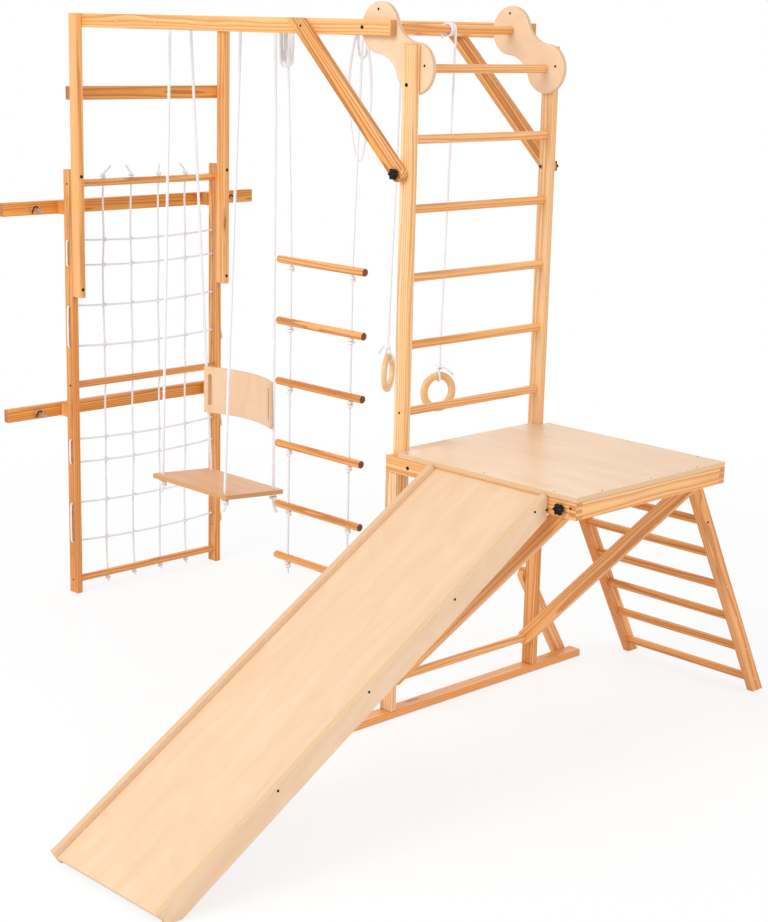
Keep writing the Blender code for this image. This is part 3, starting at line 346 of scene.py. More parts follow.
ROPE = braided_rope("white_rope", (0.94, 0.94, 0.96), (0.68, 0.67, 0.72))
BLACK = speckled("black_plastic", (0.003, 0.003, 0.004), (0.007, 0.007, 0.008), 0.24, gloss=0.22)
BOLT = speckled("black_bolt", (0.006, 0.005, 0.005), (0.014, 0.012, 0.011), 0.36, 0.3, 500.0, 0.1, 0.15)
STEEL = speckled("zinc_steel", (0.50, 0.51, 0.53), (0.66, 0.67, 0.69), 0.34, 1.0, 400.0, 0.1)
BROWN = speckled("brown_screw", (0.30, 0.17, 0.09), (0.40, 0.24, 0.13), 0.5, 0.3)
CAP = speckled("screw_cap", (0.74, 0.46, 0.23), (0.84, 0.56, 0.31), 0.45)
END_OF = {PINE: PINE_END, PALE_PINE: PINE_END, ORANGE_PINE: ORANGE_END, STREAKY_PINE: PINE_END,
          BOARD_PINE: ORANGE_END, PLY: PLY_EDGE, SEAT_PLY: SEAT_EDGE}
HEADS = (("bolt_heads", 0.0064, 0.55, BOLT), ("screw_heads", 0.0042, 0.55, BOLT),
         ("screw_caps", 0.0044, 0.25, CAP), ("deck_screws", 0.0034, 0.25, BROWN))


# Mesh building

def link(name, bm, mats):
    bmesh.ops.recalc_face_normals(bm, faces=bm.faces)
    mesh = bpy.data.meshes.new(name)
    bm.to_mesh(mesh)
    bm.free()
    for mat in mats:
        mesh.materials.append(mat)
    mesh.shade_smooth()
    obj = bpy.data.objects.new(name, mesh)
    bpy.context.collection.objects.link(obj)
    return obj


def settle(obj, body, slot, *nodes):
    """Fix a piece to its body and hide the solids that it stands for."""
    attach(obj, body)
    if nodes:
        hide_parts(*nodes)
    return obj


def store_grain(obj, place):
    """Store each point's place along, across and through the timber."""
    attributes = obj.data.attributes
    attribute = attributes.get("grain") or attributes.new("grain", "FLOAT_VECTOR", "POINT")
    values = [value for vertex in obj.data.vertices for value in place(vertex.co)]
    attribute.data.foreach_set("vector", values)


def set_grain(obj, along, across, pith=None):
    """Lay the grain along a direction from a random start; returns the rule for a point's place."""
    along, across = along.normalized(), across.normalized()
    through = along.cross(across)
    if pith is None:
        pith = (random.uniform(-0.03, 0.03), random.choice((-1, 1)) * random.uniform(0.012, 0.05))
    start = random.uniform(0, 40)
    middle = sum((Vector(c) for c in obj.bound_box), Vector()) / 8

    def place(point):
        p = point - middle
        return p.dot(along) + start, p.dot(across) + pith[0], p.dot(through) + pith[1]

    store_grain(obj, place)
    return place


def ease(obj, width=TIMBER_EASE, segments=3):
    """Round the sharp edges, with shading that keeps the flat faces flat."""
    bevel = obj.modifiers.new("eased_edges", "BEVEL")
    bevel.width, bevel.segments = width, segments
    bevel.limit_method, bevel.angle_limit = "ANGLE", math.radians(35)
    obj.modifiers.new("flat_faces", "WEIGHTED_NORMAL").keep_sharp = True


def apply_modifiers(obj):
    graph = bpy.context.evaluated_depsgraph_get()
    mesh = bpy.data.meshes.new_from_object(obj.evaluated_get(graph))
    obj.modifiers.clear()
    obj.data = mesh


def cut(obj, cutter):
    """Take the cutter's shape out of a piece; the cutter itself goes."""
    boolean = obj.modifiers.new("cut", "BOOLEAN")
    boolean.operation, boolean.object = "DIFFERENCE", cutter
    apply_modifiers(obj)
    bpy.data.objects.remove(cutter)


def mark_faces(obj, chosen):
    """Give the faces that a test picks the second material."""
    for face in obj.data.polygons:
        face.material_index = int(chosen(face))


def mark_ends(obj, along):
    """Show end grain where the timber is cut across."""
    mark_faces(obj, lambda face: abs(face.normal.dot(along)) > 0.9)


def mark_edges(obj, through):
    """Show the plies where the plywood is cut."""
    mark_faces(obj, lambda face: abs(face.normal.dot(through)) < 0.6)


def board(name, bm, mat, along, across, through, width):
    """A timber or plywood piece with its grain, its cut faces and its eased edges."""
    ply = mat in (PLY, SEAT_PLY)
    obj = link(name, bm, (mat, END_OF[mat]))
    set_grain(obj, along, across, (0.0, 0.0) if ply else None)
    if ply:
        mark_edges(obj, through)
    else:
        mark_ends(obj, along.normalized())
    ease(obj, width)
    return obj


def skin(bm, loops):
    """Join each loop of points to the next; a loop of one point is a tip."""
    for near, far in zip(loops, loops[1:]):
        count = max(len(near), len(far))
        for k in range(count):
            m = (k + 1) % count
            corners = (near[k % len(near)], near[m % len(near)], far[m % len(far)], far[k % len(far)])
            bm.faces.new(list(dict.fromkeys(corners)))


def prism_mesh(bm, outline, axis, low, high):
    place = {
        "X": lambda a, b, depth: (depth, a, b),
        "Y": lambda a, b, depth: (a, depth, b),
        "Z": lambda a, b, depth: (a, b, depth),
    }[axis]
    ends = [[bm.verts.new(place(a, b, depth)) for a, b in outline] for depth in (low, high)]
    for end in ends:
        bm.faces.new(end)
    skin(bm, ends)


def prism(name, outline, axis, low, high, mat, along, width=TIMBER_EASE):
    """An outline cut from a board, with its grain along a direction."""
    bm = bmesh.new()
    prism_mesh(bm, outline, axis, low, high)
    depth = {"X": X, "Y": Y, "Z": Z}[axis]
    return board(name, bm, mat, along, depth.cross(along), depth, width)


def plank(name, low, high, mat, width=TIMBER_EASE):
    """A straight board with its grain along its longest side."""
    low, high = Vector(low), Vector(high)
    size = high - low
    thin, wide, long = ((X, Y, Z)[i] for i in sorted(range(3), key=lambda i: size[i]))
    bm = bmesh.new()
    matrix = Matrix.Translation((low + high) / 2) @ Matrix.Diagonal((*size, 1.0))
    bmesh.ops.create_cube(bm, size=1.0, matrix=matrix)
    return board(name, bm, mat, long, wide, thin, width)


def rod_mesh(bm, start, end, radius, sides=32):
    start, end = Vector(start), Vector(end)
    turn = (end - start).to_track_quat("Z", "Y").to_matrix().to_4x4()
    bmesh.ops.create_cone(bm, cap_ends=True, segments=sides, radius1=radius, radius2=radius,
                          depth=(end - start).length, matrix=Matrix.Translation((start + end) / 2) @ turn)


def rod(name, start, end, mat, chamfer=ROD_EASE, end_mat=None):
    """A turned bar with eased ends."""
    bm = bmesh.new()
    rod_mesh(bm, start, end, BAR_R)
    obj = link(name, bm, (mat, end_mat or END_OF[mat]))
    along = Vector(end) - Vector(start)
    mark_ends(obj, along.normalized())
    across = Z if abs(along.normalized().z) < 0.9 else X
    set_grain(obj, along, across.cross(along), (random.uniform(-0.02, 0.02), random.uniform(0.006, 0.02)))
    ease(obj, chamfer, 2)
    return obj


def lathe(bm, profile, base, direction, sides=24):
    """Turn a profile of (height, radius) pairs about a direction from a base point."""
    matrix = Matrix.Translation(base) @ Vector(direction).to_track_quat("Z", "Y").to_matrix().to_4x4()
    loops = []
    for height, radius in profile:
        angles = [2 * math.pi * k / sides for k in range(sides if radius else 1)]
        spots = [Vector((radius * math.cos(a), radius * math.sin(a), height)) for a in angles]
        loops.append([bm.verts.new(matrix @ spot) for spot in spots])
    skin(bm, loops)


def arc(centre, radius, start, end, steps):
    angles = [start + (end - start) * i / steps for i in range(steps + 1)]
    return [(centre[0] + radius * math.cos(a), centre[1] + radius * math.sin(a)) for a in angles]


def strap_outline(low, high, width, level_end=None):
    """A strap between two bolts, rounded about them or cut level at a height at one end."""
    angle = math.atan2(high[1] - low[1], high[0] - low[0])
    half = width / 2
    outline = arc(low, half, angle + math.pi / 2, angle + 3 * math.pi / 2, 24)
    if level_end is None:
        return outline + arc(high, half, angle - math.pi / 2, angle + math.pi / 2, 24)
    for point in (outline[-1], outline[0]):
        run = (level_end - point[1]) / math.tan(angle)
        outline.append((point[0] + run, level_end))
    return outline


def strap(node, axis, depth, low, high, mat, slot, level_end=None):
    """A strap between two points in the place of one solid, with its grain along it."""
    run, rise = high[0] - low[0], high[1] - low[1]
    along = Vector((0, run, rise) if axis == "X" else (run, 0, rise))
    stand_in(prism, node, strap_outline(low, high, POST_W, level_end), axis, *depth, mat, along, slot=slot)


def span(low, high, sign, middle=0.0):
    """Two distances to one side of a middle, the lower place first."""
    return sorted((middle + sign * low, middle + sign * high))


def stand_in(make, node, *shape, slot, body="frame", **options):
    """One piece in the place of one solid."""
    return settle(make(f"{node}_look", *shape, **options), body, slot, node)


# Ropes

def smooth_path(points, spacing=0.020, turn=14.0):
    """A Catmull-Rom curve through points, finer where it bends."""
    route = [Vector(p) for p in points]
    padded = [2 * route[0] - route[1]] + route + [2 * route[-1] - route[-2]]
    path = []
    for i in range(1, len(padded) - 2):
        p0, p1, p2, p3 = padded[i - 1:i + 3]
        bend = max((p1 - p0).angle(p2 - p1, 0.0), (p2 - p1).angle(p3 - p2, 0.0))
        steps = max(1, math.ceil(math.degrees(bend) / turn), math.ceil((p2 - p1).length / spacing))
        steps = min(steps, 1 if (p2 - p1).length < 0.0012 else 200)
        knots = [0.0]
        for a, b in ((p0, p1), (p1, p2), (p2, p3)):
            knots.append(knots[-1] + max((b - a).length, 1e-6) ** 0.5)
        t0, t1, t2, t3 = knots
        for k in range(steps):
            t = t1 + (t2 - t1) * k / steps
            a1 = p0 * ((t1 - t) / (t1 - t0)) + p1 * ((t - t0) / (t1 - t0))
            a2 = p1 * ((t2 - t) / (t2 - t1)) + p2 * ((t - t1) / (t2 - t1))
            a3 = p2 * ((t3 - t) / (t3 - t2)) + p3 * ((t - t2) / (t3 - t2))
            b1 = a1 * ((t2 - t) / (t2 - t0)) + a2 * ((t - t0) / (t2 - t0))
            b2 = a2 * ((t3 - t) / (t3 - t1)) + a3 * ((t - t1) / (t3 - t1))
            path.append(b1 * ((t2 - t) / (t2 - t1)) + b2 * ((t - t1) / (t2 - t1)))
    path.append(route[-1])
    return path


def mark_braid(face, layer, spots):
    """Store each corner's place round and along its rope."""
    for corner, (turn, run) in zip(face.loops, spots):
        corner[layer] = Vector((turn, run, 0))


def tube_mesh(bm, path, diameter, sides=12):
    """A round tube along a path with narrowed tips, marked for the braid."""
    layer = bm.loops.layers.float_vector.get("braid") or bm.loops.layers.float_vector.new("braid")
    radius, along = diameter / 2, 0.0
    side = (path[1] - path[0]).normalized().orthogonal().normalized()
    loops = []
    for i, point in enumerate(path):
        ahead = (path[min(i + 1, len(path) - 1)] - path[max(i - 1, 0)]).normalized()
        side = (side - ahead * side.dot(ahead)).normalized()
        other = ahead.cross(side)
        if i:
            along += (point - path[i - 1]).length
        angles = (2 * math.pi * k / sides for k in range(sides))
        loop = [bm.verts.new(point + (side * math.cos(a) + other * math.sin(a)) * radius) for a in angles]
        loops.append((loop, along / diameter))
    for (near, u), (far, v) in zip(loops, loops[1:]):
        for k in range(sides):
            m = (k + 1) % sides
            a, b = k / sides, (k + 1) / sides
            face = bm.faces.new((near[k], near[m], far[m], far[k]))
            mark_braid(face, layer, ((a, u), (b, u), (b, v), (a, v)))
    for index, inner in ((0, 1), (-1, -2)):
        end, loop = path[index], loops[index][0]
        tip = end + (end - path[inner]).normalized() * radius * TIP_RISE
        small = [bm.verts.new(tip + (vertex.co - end) * TIP_WIDTH) for vertex in loop]
        for k in range(sides):
            m = (k + 1) % sides
            mark_braid(bm.faces.new((loop[k], loop[m], small[m], small[k])), layer, [(k / sides, 0.5)] * 4)
        mark_braid(bm.faces.new(small), layer, [(0.5, 0.5)] * sides)


def knot_path(centre, axis, diameter, spin):
    """The wrap of an overhand knot about a rope, its ends tucked in against the rope."""
    side = axis.orthogonal().normalized()
    other = axis.cross(side)
    steps = int(KNOT_TURNS * 18)
    points = []
    for i in range(-3, steps + 4):
        share = min(max(i / steps, 0.0), 1.0)
        angle = spin + 2 * math.pi * KNOT_TURNS * i / steps
        reach = diameter * (0.93 - 0.17 * max(-i, i - steps, 0))
        lift = diameter * ((share - 0.5) * 0.98 * KNOT_TURNS + 0.18 * math.sin(angle * 0.5 + spin))
        around = side * math.cos(angle) + other * math.sin(angle)
        points.append(Vector(centre) + around * reach + axis * lift)
    return points


def knotted_rope(node, route, diameter, body, knots, sides=12):
    """A rope and its knots; returns the rope, its path and the knots."""
    path = smooth_path(route)
    bm = bmesh.new()
    tube_mesh(bm, path, diameter, sides)
    obj = link(f"{node}_look", bm, (ROPE,))
    bm = bmesh.new()
    for i, (centre, axis) in enumerate(knots):
        tube_mesh(bm, smooth_path(knot_path(centre, axis, diameter, 1.3 * i)), diameter * 0.97, 10)
    wraps = settle(link(f"{node}_look_knots", bm, (ROPE,)), body, "white_rope")
    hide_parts(node)
    return obj, path, wraps


def hanging_rope(node, route, diameter, body, knots):
    """A rope whose lashing stays on its bar, and that swings with its body below."""
    obj, path, wraps = knotted_rope(node, route, diameter, body, knots)
    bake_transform(obj, "frame", body, (0, 0, BEAM_Z - LASHING_DROP), (0, 0, BEAM_Z - FREE_DROP))


def over_bar(bar_x, side, y, diameter, turns):
    """Turns of rope over a bar that runs along Y, from a short tail at the bar's side."""
    reach = (BAR_R + diameter / 2 + GAP) / math.cos(math.pi / TURN_STEPS)
    half = TURN_STEPS // 2
    crest = [(math.cos(math.pi * k / half), math.sin(math.pi * k / half)) for k in range(half)]
    points = [(bar_x + side * reach, y, BEAM_Z - tail) for tail in (ROPE_TAIL, ROPE_TAIL / 2)]
    for advance, drop, bulge in list(turns) + [(turns[-1][0], None, 0.0)]:
        for k, (c, s) in enumerate(crest):
            points.append((bar_x + side * reach * c, y + advance * k / half, BEAM_Z + reach * s))
        y += advance
        if drop is None:
            break
        lower = slack_loop(reach, drop, bulge) if drop else [(-reach * c, -reach * s) for c, s in crest]
        points += [(bar_x + side * a, y, BEAM_Z + b) for a, b in lower]
    points.append((bar_x - side * reach, y, BEAM_Z))
    points.append((bar_x - side * reach, y, BEAM_Z - ROPE_TAIL))
    return points


def slack_loop(reach, drop, bulge):
    legs = 10
    side = drop - reach
    down = [(-reach - bulge * math.sin(math.pi * k / legs), -side * k / legs) for k in range(legs)]
    bottom = [(-reach * math.cos(a), -side - reach * math.sin(a))
              for a in (math.pi * k / 10 for k in range(11))]
    up = [(-a, b) for a, b in reversed(down[1:])]
    return down + bottom + up


# Pieces

def build_camera():
    data = bpy.data.cameras.new("camera")
    data.sensor_fit, data.sensor_width = "AUTO", 36.0
    data.lens, data.clip_end = LENS, 60.0
    obj = bpy.data.objects.new("camera", data)
    bpy.context.collection.objects.link(obj)
    turn = Matrix((CAMERA_RIGHT, CAMERA_UP, CAMERA_BACK)).transposed().to_4x4()
    obj.matrix_world = Matrix.Translation(CAMERA_PLACE) @ turn
    bpy.context.scene.camera = obj


def build_swing():
    bars = (BAR_XS[6], BAR_XS[4])
    middle = sum(bars) / 2
    ys = (SEAT_Y - SEAT_HOLES_W / 2, SEAT_Y + SEAT_HOLES_W / 2)
    step = SWING_ROPE_D + WINDING_GAP
    spread = SWING_LASH_Y[1] - SWING_LASH_Y[0] - 4 * step
    turns = [(advance, 0.0, 0.0) for advance in (step, step, spread, step)]
    unders = [SEAT_Z - (y - SEAT_Y) * math.tan(SEAT_TILT) - SEAT_T / math.cos(SEAT_TILT) for y in ys]
    for label, bar, side in (("left", bars[0], 1), ("right", bars[1], -1)):
        x = middle - side * SEAT_HOLES_L / 2
        wound = over_bar(bar, side, SWING_LASH_Y[0], SWING_ROPE_D, turns)[1:]
        tails = []
        for y, under, (lean, tail) in zip(ys, unders, SWING_TAILS):
            drop = under - 2.6 * SWING_ROPE_D
            tails.append([(x + lean, y + lean * 0.6, drop - tail), (x + lean * 0.4, y, drop - tail * 0.4),
                          (x, y, drop), (x, y, under + SEAT_T / 2), (x, y, under + SEAT_T * 1.5)])
        knots = [((x, y, under - KNOT_DROP * SWING_ROPE_D), Z) for y, under in zip(ys, unders)]
        hanging_rope(f"swing_rope_{label}", tails[0] + wound + tails[1][::-1], SWING_ROPE_D, "swing", knots)
    seat = plank("swing_seat_look", (middle - SEAT_L / 2, SEAT_Y - SEAT_W / 2, SEAT_Z - SEAT_T),
                 (middle + SEAT_L / 2, SEAT_Y + SEAT_W / 2, SEAT_Z), SEAT_PLY, SEAT_EASE)
    centre = Vector((middle, SEAT_Y, SEAT_Z))
    lean = Matrix.Translation(centre) @ Matrix.Rotation(-SEAT_TILT, 4, "X")
    seat.data.transform(lean @ Matrix.Translation(-centre))
    settle(seat, "swing", "birch_plywood", "swing_seat")
    build_backrest(middle, Vector((x, ys[1], unders[1] + SEAT_T * 1.5)), Vector(wound[-1]))


def build_backrest(middle, low, top):
    """A bowed board with two slots, its rear face against the rear ropes."""
    passing = low.lerp(top, (BACKREST_Z + BACKREST_H / 2 - low.z) / (top.z - low.z))
    half = BACKREST_L / 2
    radius = (half ** 2 + BACKREST_BOW ** 2) / (2 * BACKREST_BOW)
    sweep = math.asin(half / radius)
    rope_angle = math.asin((passing.x - middle) / radius)
    clear = BACKREST_T / 2 + SWING_ROPE_D / 2
    centre = Vector((middle, passing.y - clear / math.cos(rope_angle) - radius * math.cos(rope_angle)))
    outer = arc(centre, radius + BACKREST_T / 2, math.pi / 2 - sweep, math.pi / 2 + sweep, 40)
    inner = arc(centre, radius - BACKREST_T / 2, math.pi / 2 + sweep, math.pi / 2 - sweep, 40)
    bm = bmesh.new()
    prism_mesh(bm, outer + inner, "Z", BACKREST_Z - BACKREST_H / 2, BACKREST_Z + BACKREST_H / 2)
    obj = link("swing_backrest_look", bm, (PLY, PLY_EDGE))
    for sign in (-1, 1):
        x = middle + sign * SLOT_X
        reach = (SLOT_H - SLOT_W) / 2
        bm = bmesh.new()
        prism_mesh(bm, strap_outline((x, BACKREST_Z - reach), (x, BACKREST_Z + reach), SLOT_W), "Y",
                   passing.y - BACKREST_BOW, passing.y + BACKREST_BOW)
        cut(obj, link(f"slot_cutter_{sign}", bm, (PLY_EDGE,)))
    ease(obj, PLY_EASE, 2)
    apply_modifiers(obj)
    place = set_grain(obj, Z, X, (0.0, 0.0))
    store_grain(obj, lambda point: (*place(point)[:2], (point.xy - centre).length - radius))
    mark_faces(obj, lambda face: abs(face.normal.xy.dot((face.center.xy - centre).normalized())) < 0.6)
    settle(obj, "swing", "birch_plywood", "swing_backrest")


def build_rope_ladder():
    step = LADDER_ROPE_D + WINDING_GAP
    slack = {
        "left": [(step, 0.0, 0.0), (step, 0.150, 0.004), (step, 0.135, 0.009), (step, 0.145, 0.002)],
        "right": [(-step, 0.0, 0.0), (-step, 0.110, 0.006), (-step, 0.480, 0.040)],
    }
    low = LADDER_HEIGHTS[-1] - BAR_R
    for label, side, bar, lash_y in zip(slack, (1, -1), (3, 2), LADDER_LASH_Y):
        x = LADDER_X - side * LADDER_ROPES_W / 2
        start = lash_y - sum(turn[0] for turn in slack[label])
        route = over_bar(BAR_XS[bar], side, start, LADDER_ROPE_D, slack[label])
        for z in LADDER_HEIGHTS:
            route += [(x, LADDER_Y, z + BAR_R + 0.01), (x, LADDER_Y, z - BAR_R - 0.01)]
        route += [(x, LADDER_Y, low - 0.026), (x + 0.006, LADDER_Y - 0.003, low - 0.045)]
        knots = [((x, LADDER_Y, z - BAR_R - KNOT_DROP * LADDER_ROPE_D), Z) for z in LADDER_HEIGHTS]
        hanging_rope(f"rope_ladder_cord_{label}", route, LADDER_ROPE_D, "rope_ladder", knots)
    for i, z in enumerate(LADDER_HEIGHTS):
        ends = [(LADDER_X + s * LADDER_RUNG_L / 2, LADDER_Y, z) for s in (-1, 1)]
        stand_in(rod, f"rope_ladder_rung_{i + 1}", *ends, ORANGE_PINE, slot="orange_pine",
                 body="rope_ladder", chamfer=LADDER_ROD_EASE, end_mat=RED_END)


def ring_eye(centre, yaw, tail):
    axial = Vector((math.cos(yaw), math.sin(yaw), 0))
    across = Vector((-math.sin(yaw), math.cos(yaw), 0))
    hub = centre + Vector((0, 0, (RING_D - RING_WIDTH) / 2))
    d = RING_ROPE_D
    flank = RING_T * 0.49 + d / 2 + ROPE_SEAT
    under = RING_WIDTH * 0.49 + d / 2 + ROPE_SEAT
    spots = (
        (0.0, d * 12.5, -0.5), (0.0, d * 3.75, -0.5), (flank, d * 0.88, -0.45),
        (flank, -d * 0.88, -0.22), (flank * 0.44, -under, -0.07), (-flank * 0.44, -under, 0.07),
        (-flank, -d * 0.88, 0.22), (-flank, d * 0.88, 0.58), (-d * 1.3, d * 2.75, 1.06),
        (-d * 1.6, d * 4.1, 1.3), (-d * 2.5, d * 4.5, 1.3 + tail / 4),
        (-d * 3.6, d * 3.6, 1.3 + tail / 2), (-d * 5.0, d * 1.0, 1.3 + tail),
    )
    points = [hub + axial * u + Vector((0, 0, v)) + across * (w * d) for u, v, w in spots]
    knot = hub + Vector((0, 0, d * 4.2)) + across * (-0.1 * d) - axial * (0.5 * d)
    return points, knot


def ring_mesh(bm):
    """A plywood hoop with well rounded edges."""
    hoops = []
    for i in range(RING_STEPS):
        angle = 2 * math.pi * i / RING_STEPS
        hoop = []
        for k in range(RING_SIDES):
            a = 2 * math.pi * (k + 0.5) / RING_SIDES
            c, s = math.cos(a), math.sin(a)
            size = (abs(c) ** RING_SQUARENESS + abs(s) ** RING_SQUARENESS) ** (-1 / RING_SQUARENESS)
            r = (RING_D - RING_WIDTH) / 2 + RING_WIDTH / 2 * c * size
            hoop.append(bm.verts.new((RING_T / 2 * s * size, r * math.cos(angle), r * math.sin(angle))))
        hoops.append(hoop)
    skin(bm, hoops + hoops[:1])


def build_rings():
    step = RING_ROPE_D + WINDING_GAP
    labels = ("wall_side", "tower_side")
    for label, bar, y, z, yaw, tail in zip(labels, (1, 0), RING_Y, RING_Z, RING_YAW, RING_TAILS):
        x, name = BAR_XS[bar], f"ring_{label}"
        wound = over_bar(x, -1, y - 1.5 * step, RING_ROPE_D, [(step, 0.0, 0.0)] * 2)
        eye, knot = ring_eye(Vector((x, y, z)), yaw, tail)
        hanging_rope(f"ring_cord_{label}", wound + eye, RING_ROPE_D, name, [(knot, Z)])
        bm = bmesh.new()
        ring_mesh(bm)
        ring = link(f"{name}_look", bm, (RING_PLY,))
        set_grain(ring, Y, Z, (0.0, 0.0))
        store_grain(ring, lambda point: (point.z, point.y, point.x))
        ring.data.transform(Matrix.Translation((x, y, z)) @ Matrix.Rotation(yaw, 4, "Z"))
        settle(ring, name, "birch_plywood", name)


def net_rope(node, route, knots):
    obj, _, _ = knotted_rope(node, route, NET_ROPE_D, "frame", knots, 10)
    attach(obj, "frame")


def tie_path(y, z, spin):
    """Thin cord wound about a crossing of two ropes."""
    angles = [2 * math.pi * k / 16 for k in range(19)]
    return [(NET_X + NET_ROPE_D * 1.28 * math.cos(a), y + NET_ROPE_D * 0.78 * math.sin(a),
             z + NET_ROPE_D * 0.75 * math.sin(a / 1.15 + spin)) for a in angles]


def build_net():
    aside = (NET_ROPE_D + WINDING_GAP) / 2
    bottom, middle, top = WALL_RUNG_HEIGHTS
    clear, swerve = BAR_R + ROPE_STAND * 2, ROPE_SWERVE
    levels = [(bottom, 0), (bottom + clear, 0), (bottom + swerve, 1),
              (middle - swerve, 1), (middle - clear, 0), (middle + clear, 0),
              (middle + swerve, 1), (top - swerve, 1), (top - clear, 0), (top, 0)]
    crown, foot = top + BAR_R, bottom - BAR_R
    inside, reach = MID_Y - LACE_EASE, NET_TAIL * 0.7
    sway = random.Random(3)
    ties = bmesh.new()
    for index, (y, lean) in enumerate(zip(NET_YS, NET_LEANS)):
        points = [(NET_X - off * aside, y, z) for z, off in levels]
        sag = NET_SAG * math.sin(math.pi * (inside - y) / (2 * inside))
        for z in sorted(z for rows in NET_ROWS.values() for z in rows):
            crossing = (y + sway.uniform(-0.0035, 0.0035), z - sag)
            points.append((NET_X - aside, *crossing))
            tube_mesh(ties, smooth_path(tie_path(*crossing, index)), NET_ROPE_D * 0.5, 8)
        route = [(NET_X + 0.002, y + 0.004, foot - 0.024), (NET_X, y, foot - 0.010)]
        route += sorted(points, key=lambda point: point[2])
        route += [(NET_X, y, crown + 2.0 * NET_ROPE_D),
                  (NET_X, y + reach * lean * 0.5, crown + 2.6 * NET_ROPE_D + reach * 0.35),
                  (NET_X, y + reach * lean, crown + 2.4 * NET_ROPE_D + reach * 0.8)]
        knots = [((NET_X, y, crown + 1.3 * NET_ROPE_D), Z), ((NET_X, y, foot - 1.1 * NET_ROPE_D), Z)]
        net_rope(f"net_upright_{index + 1}", route, knots)
    settle(link("net_ties", ties, (ROPE,)), "frame", "white_rope")
    for label, rows in NET_ROWS.items():
        knots = [((NET_X, OUTER_Y + 1.2 * NET_ROPE_D, z), Y) for z in (rows[0], rows[-1])]
        net_rope(f"net_lacing_{label}", lacing(rows, aside), knots)


def lacing(rows, aside):
    """One rope to and fro through the posts, a row at each pass, knotted at both ends."""
    outside = OUTER_Y + NET_ROPE_D / 2 + ROPE_STAND
    bend = ((outside, NET_ROPE_D), (outside - 0.001, NET_ROPE_D / 2), (OUTER_Y + ROPE_STAND, 0.0))
    side = 1

    def end(z):
        spots = ((0.09, 0.0), (1.2, 0.0), (2.2, -0.5), (2.9, -2.4), (3.2, -5.6))
        return [(NET_X, OUTER_Y + out * NET_ROPE_D, z + drop * NET_ROPE_D) for out, drop in spots]

    route = end(rows[0])[::-1]
    for index, z in enumerate(rows):
        if index:
            route += [(NET_X, side * y, z + rise) for y, rise in bend]
        for k in range(13):
            off = aside if 0 < k < 12 else 0.0
            route.append((NET_X + off, side * (MID_Y - LACE_EASE) * (1 - k / 6),
                          z - NET_SAG * math.sin(math.pi * k / 12)))
        side = -side
        if index < len(rows) - 1:
            route += [(NET_X, side * y, z - rise) for y, rise in reversed(bend)]
    return route + end(rows[-1])


def plate_outline():
    low, high = Vector((0, GRIP_Z)), Vector((BAR_XS[0], BEAM_Z))
    apart = (high - low).length
    angle = math.atan2(high.y - low.y, high.x - low.x)
    half = PLATE_WAIST / 2
    fillet = ((apart / 2) ** 2 + half ** 2 - PLATE_R ** 2) / (2 * (PLATE_R - half))
    lean = math.atan2(half + fillet, apart / 2)
    middle = (low + high) / 2
    side = Vector((-math.sin(angle), math.cos(angle))) * (half + fillet)
    outline = arc(low, PLATE_R, angle + lean, angle + 2 * math.pi - lean, 54)
    outline += arc(middle - side, fillet, angle + math.pi - lean, angle + lean, 16)[1:-1]
    outline += arc(high, PLATE_R, angle - math.pi + lean, angle + math.pi - lean, 54)
    outline += arc(middle + side, fillet, angle - lean, angle - math.pi + lean, 16)[1:-1]
    return outline


def cross_bar(name, x, z, half, mat=PINE):
    return rod(name, (x, -half, z), (x, half, z), mat)


def build_tower():
    for label, sign in SIDES:
        y0, y1 = span(INNER_Y, INNER_Y + POST_T, sign)
        upright = plank(f"tower_upright_{label}", (-POST_W / 2, y0, UPRIGHT_FOOT), (POST_W / 2, y1, TOWER_H),
                        PALE_PINE)
        settle(upright, "frame", "light_pine", "tower_ladder")
        stand_in(prism, f"connector_plate_{label}", plate_outline(), "Y",
                 *span(PLATE_FACE_Y, INNER_Y - GAP, sign), PLY, Vector((-0.8, 0, 0.6)), slot="birch_plywood")
        strap(f"knee_brace_{label}", "Y", span(MID_Y, OUTER_Y, sign), (KNEE_KNOB_X, KNEE_KNOB_Z),
              (KNEE_SCREW_X, BEAM_Z), STREAKY_PINE, "light_pine", BEAM_TOP)
    for i in range(RUNG_COUNT):
        grip = i == RUNG_COUNT - 1
        half = PLATE_FACE_Y - GAP if grip else INNER_Y
        obj = cross_bar(f"tower_rung_{i + 1}", 0, FIRST_RUNG_Z + i * RUNG_PITCH, half)
        settle(obj, "frame", "light_pine", "grip_rung" if grip else "tower_ladder")


def build_overhead():
    for label, sign in SIDES:
        y0, y1 = span(INNER_Y, INNER_Y + POST_T, sign)
        obj = plank(f"overhead_beam_{label}", (WALL_X, y0, BEAM_TOP - POST_W), (BEAM_END_X, y1, BEAM_TOP),
                    PINE)
        settle(obj, "frame", "light_pine", "overhead_ladder")
    for i, x in enumerate(BAR_XS):
        obj = cross_bar(f"monkey_bar_{i + 1}", x, BEAM_Z, INNER_Y if i else PLATE_FACE_Y - GAP)
        settle(obj, "frame", "light_pine", "overhead_ladder" if i else "monkey_bar_first")


def finger_edges(low, high, shallow, deep, first_deep):
    points = []
    step = (high - low) / FINGERS
    for i in range(FINGERS):
        edge = deep if (i % 2 == 0) == first_deep else shallow
        ends = [low + i * step, low + (i + 1) * step]
        pull = GAP / 2 if edge == deep else -GAP / 2
        ends[0] += pull if i else 0.0
        ends[1] -= pull if i < FINGERS - 1 else 0.0
        points += [(edge, ends[0]), (edge, ends[1])]
    return points


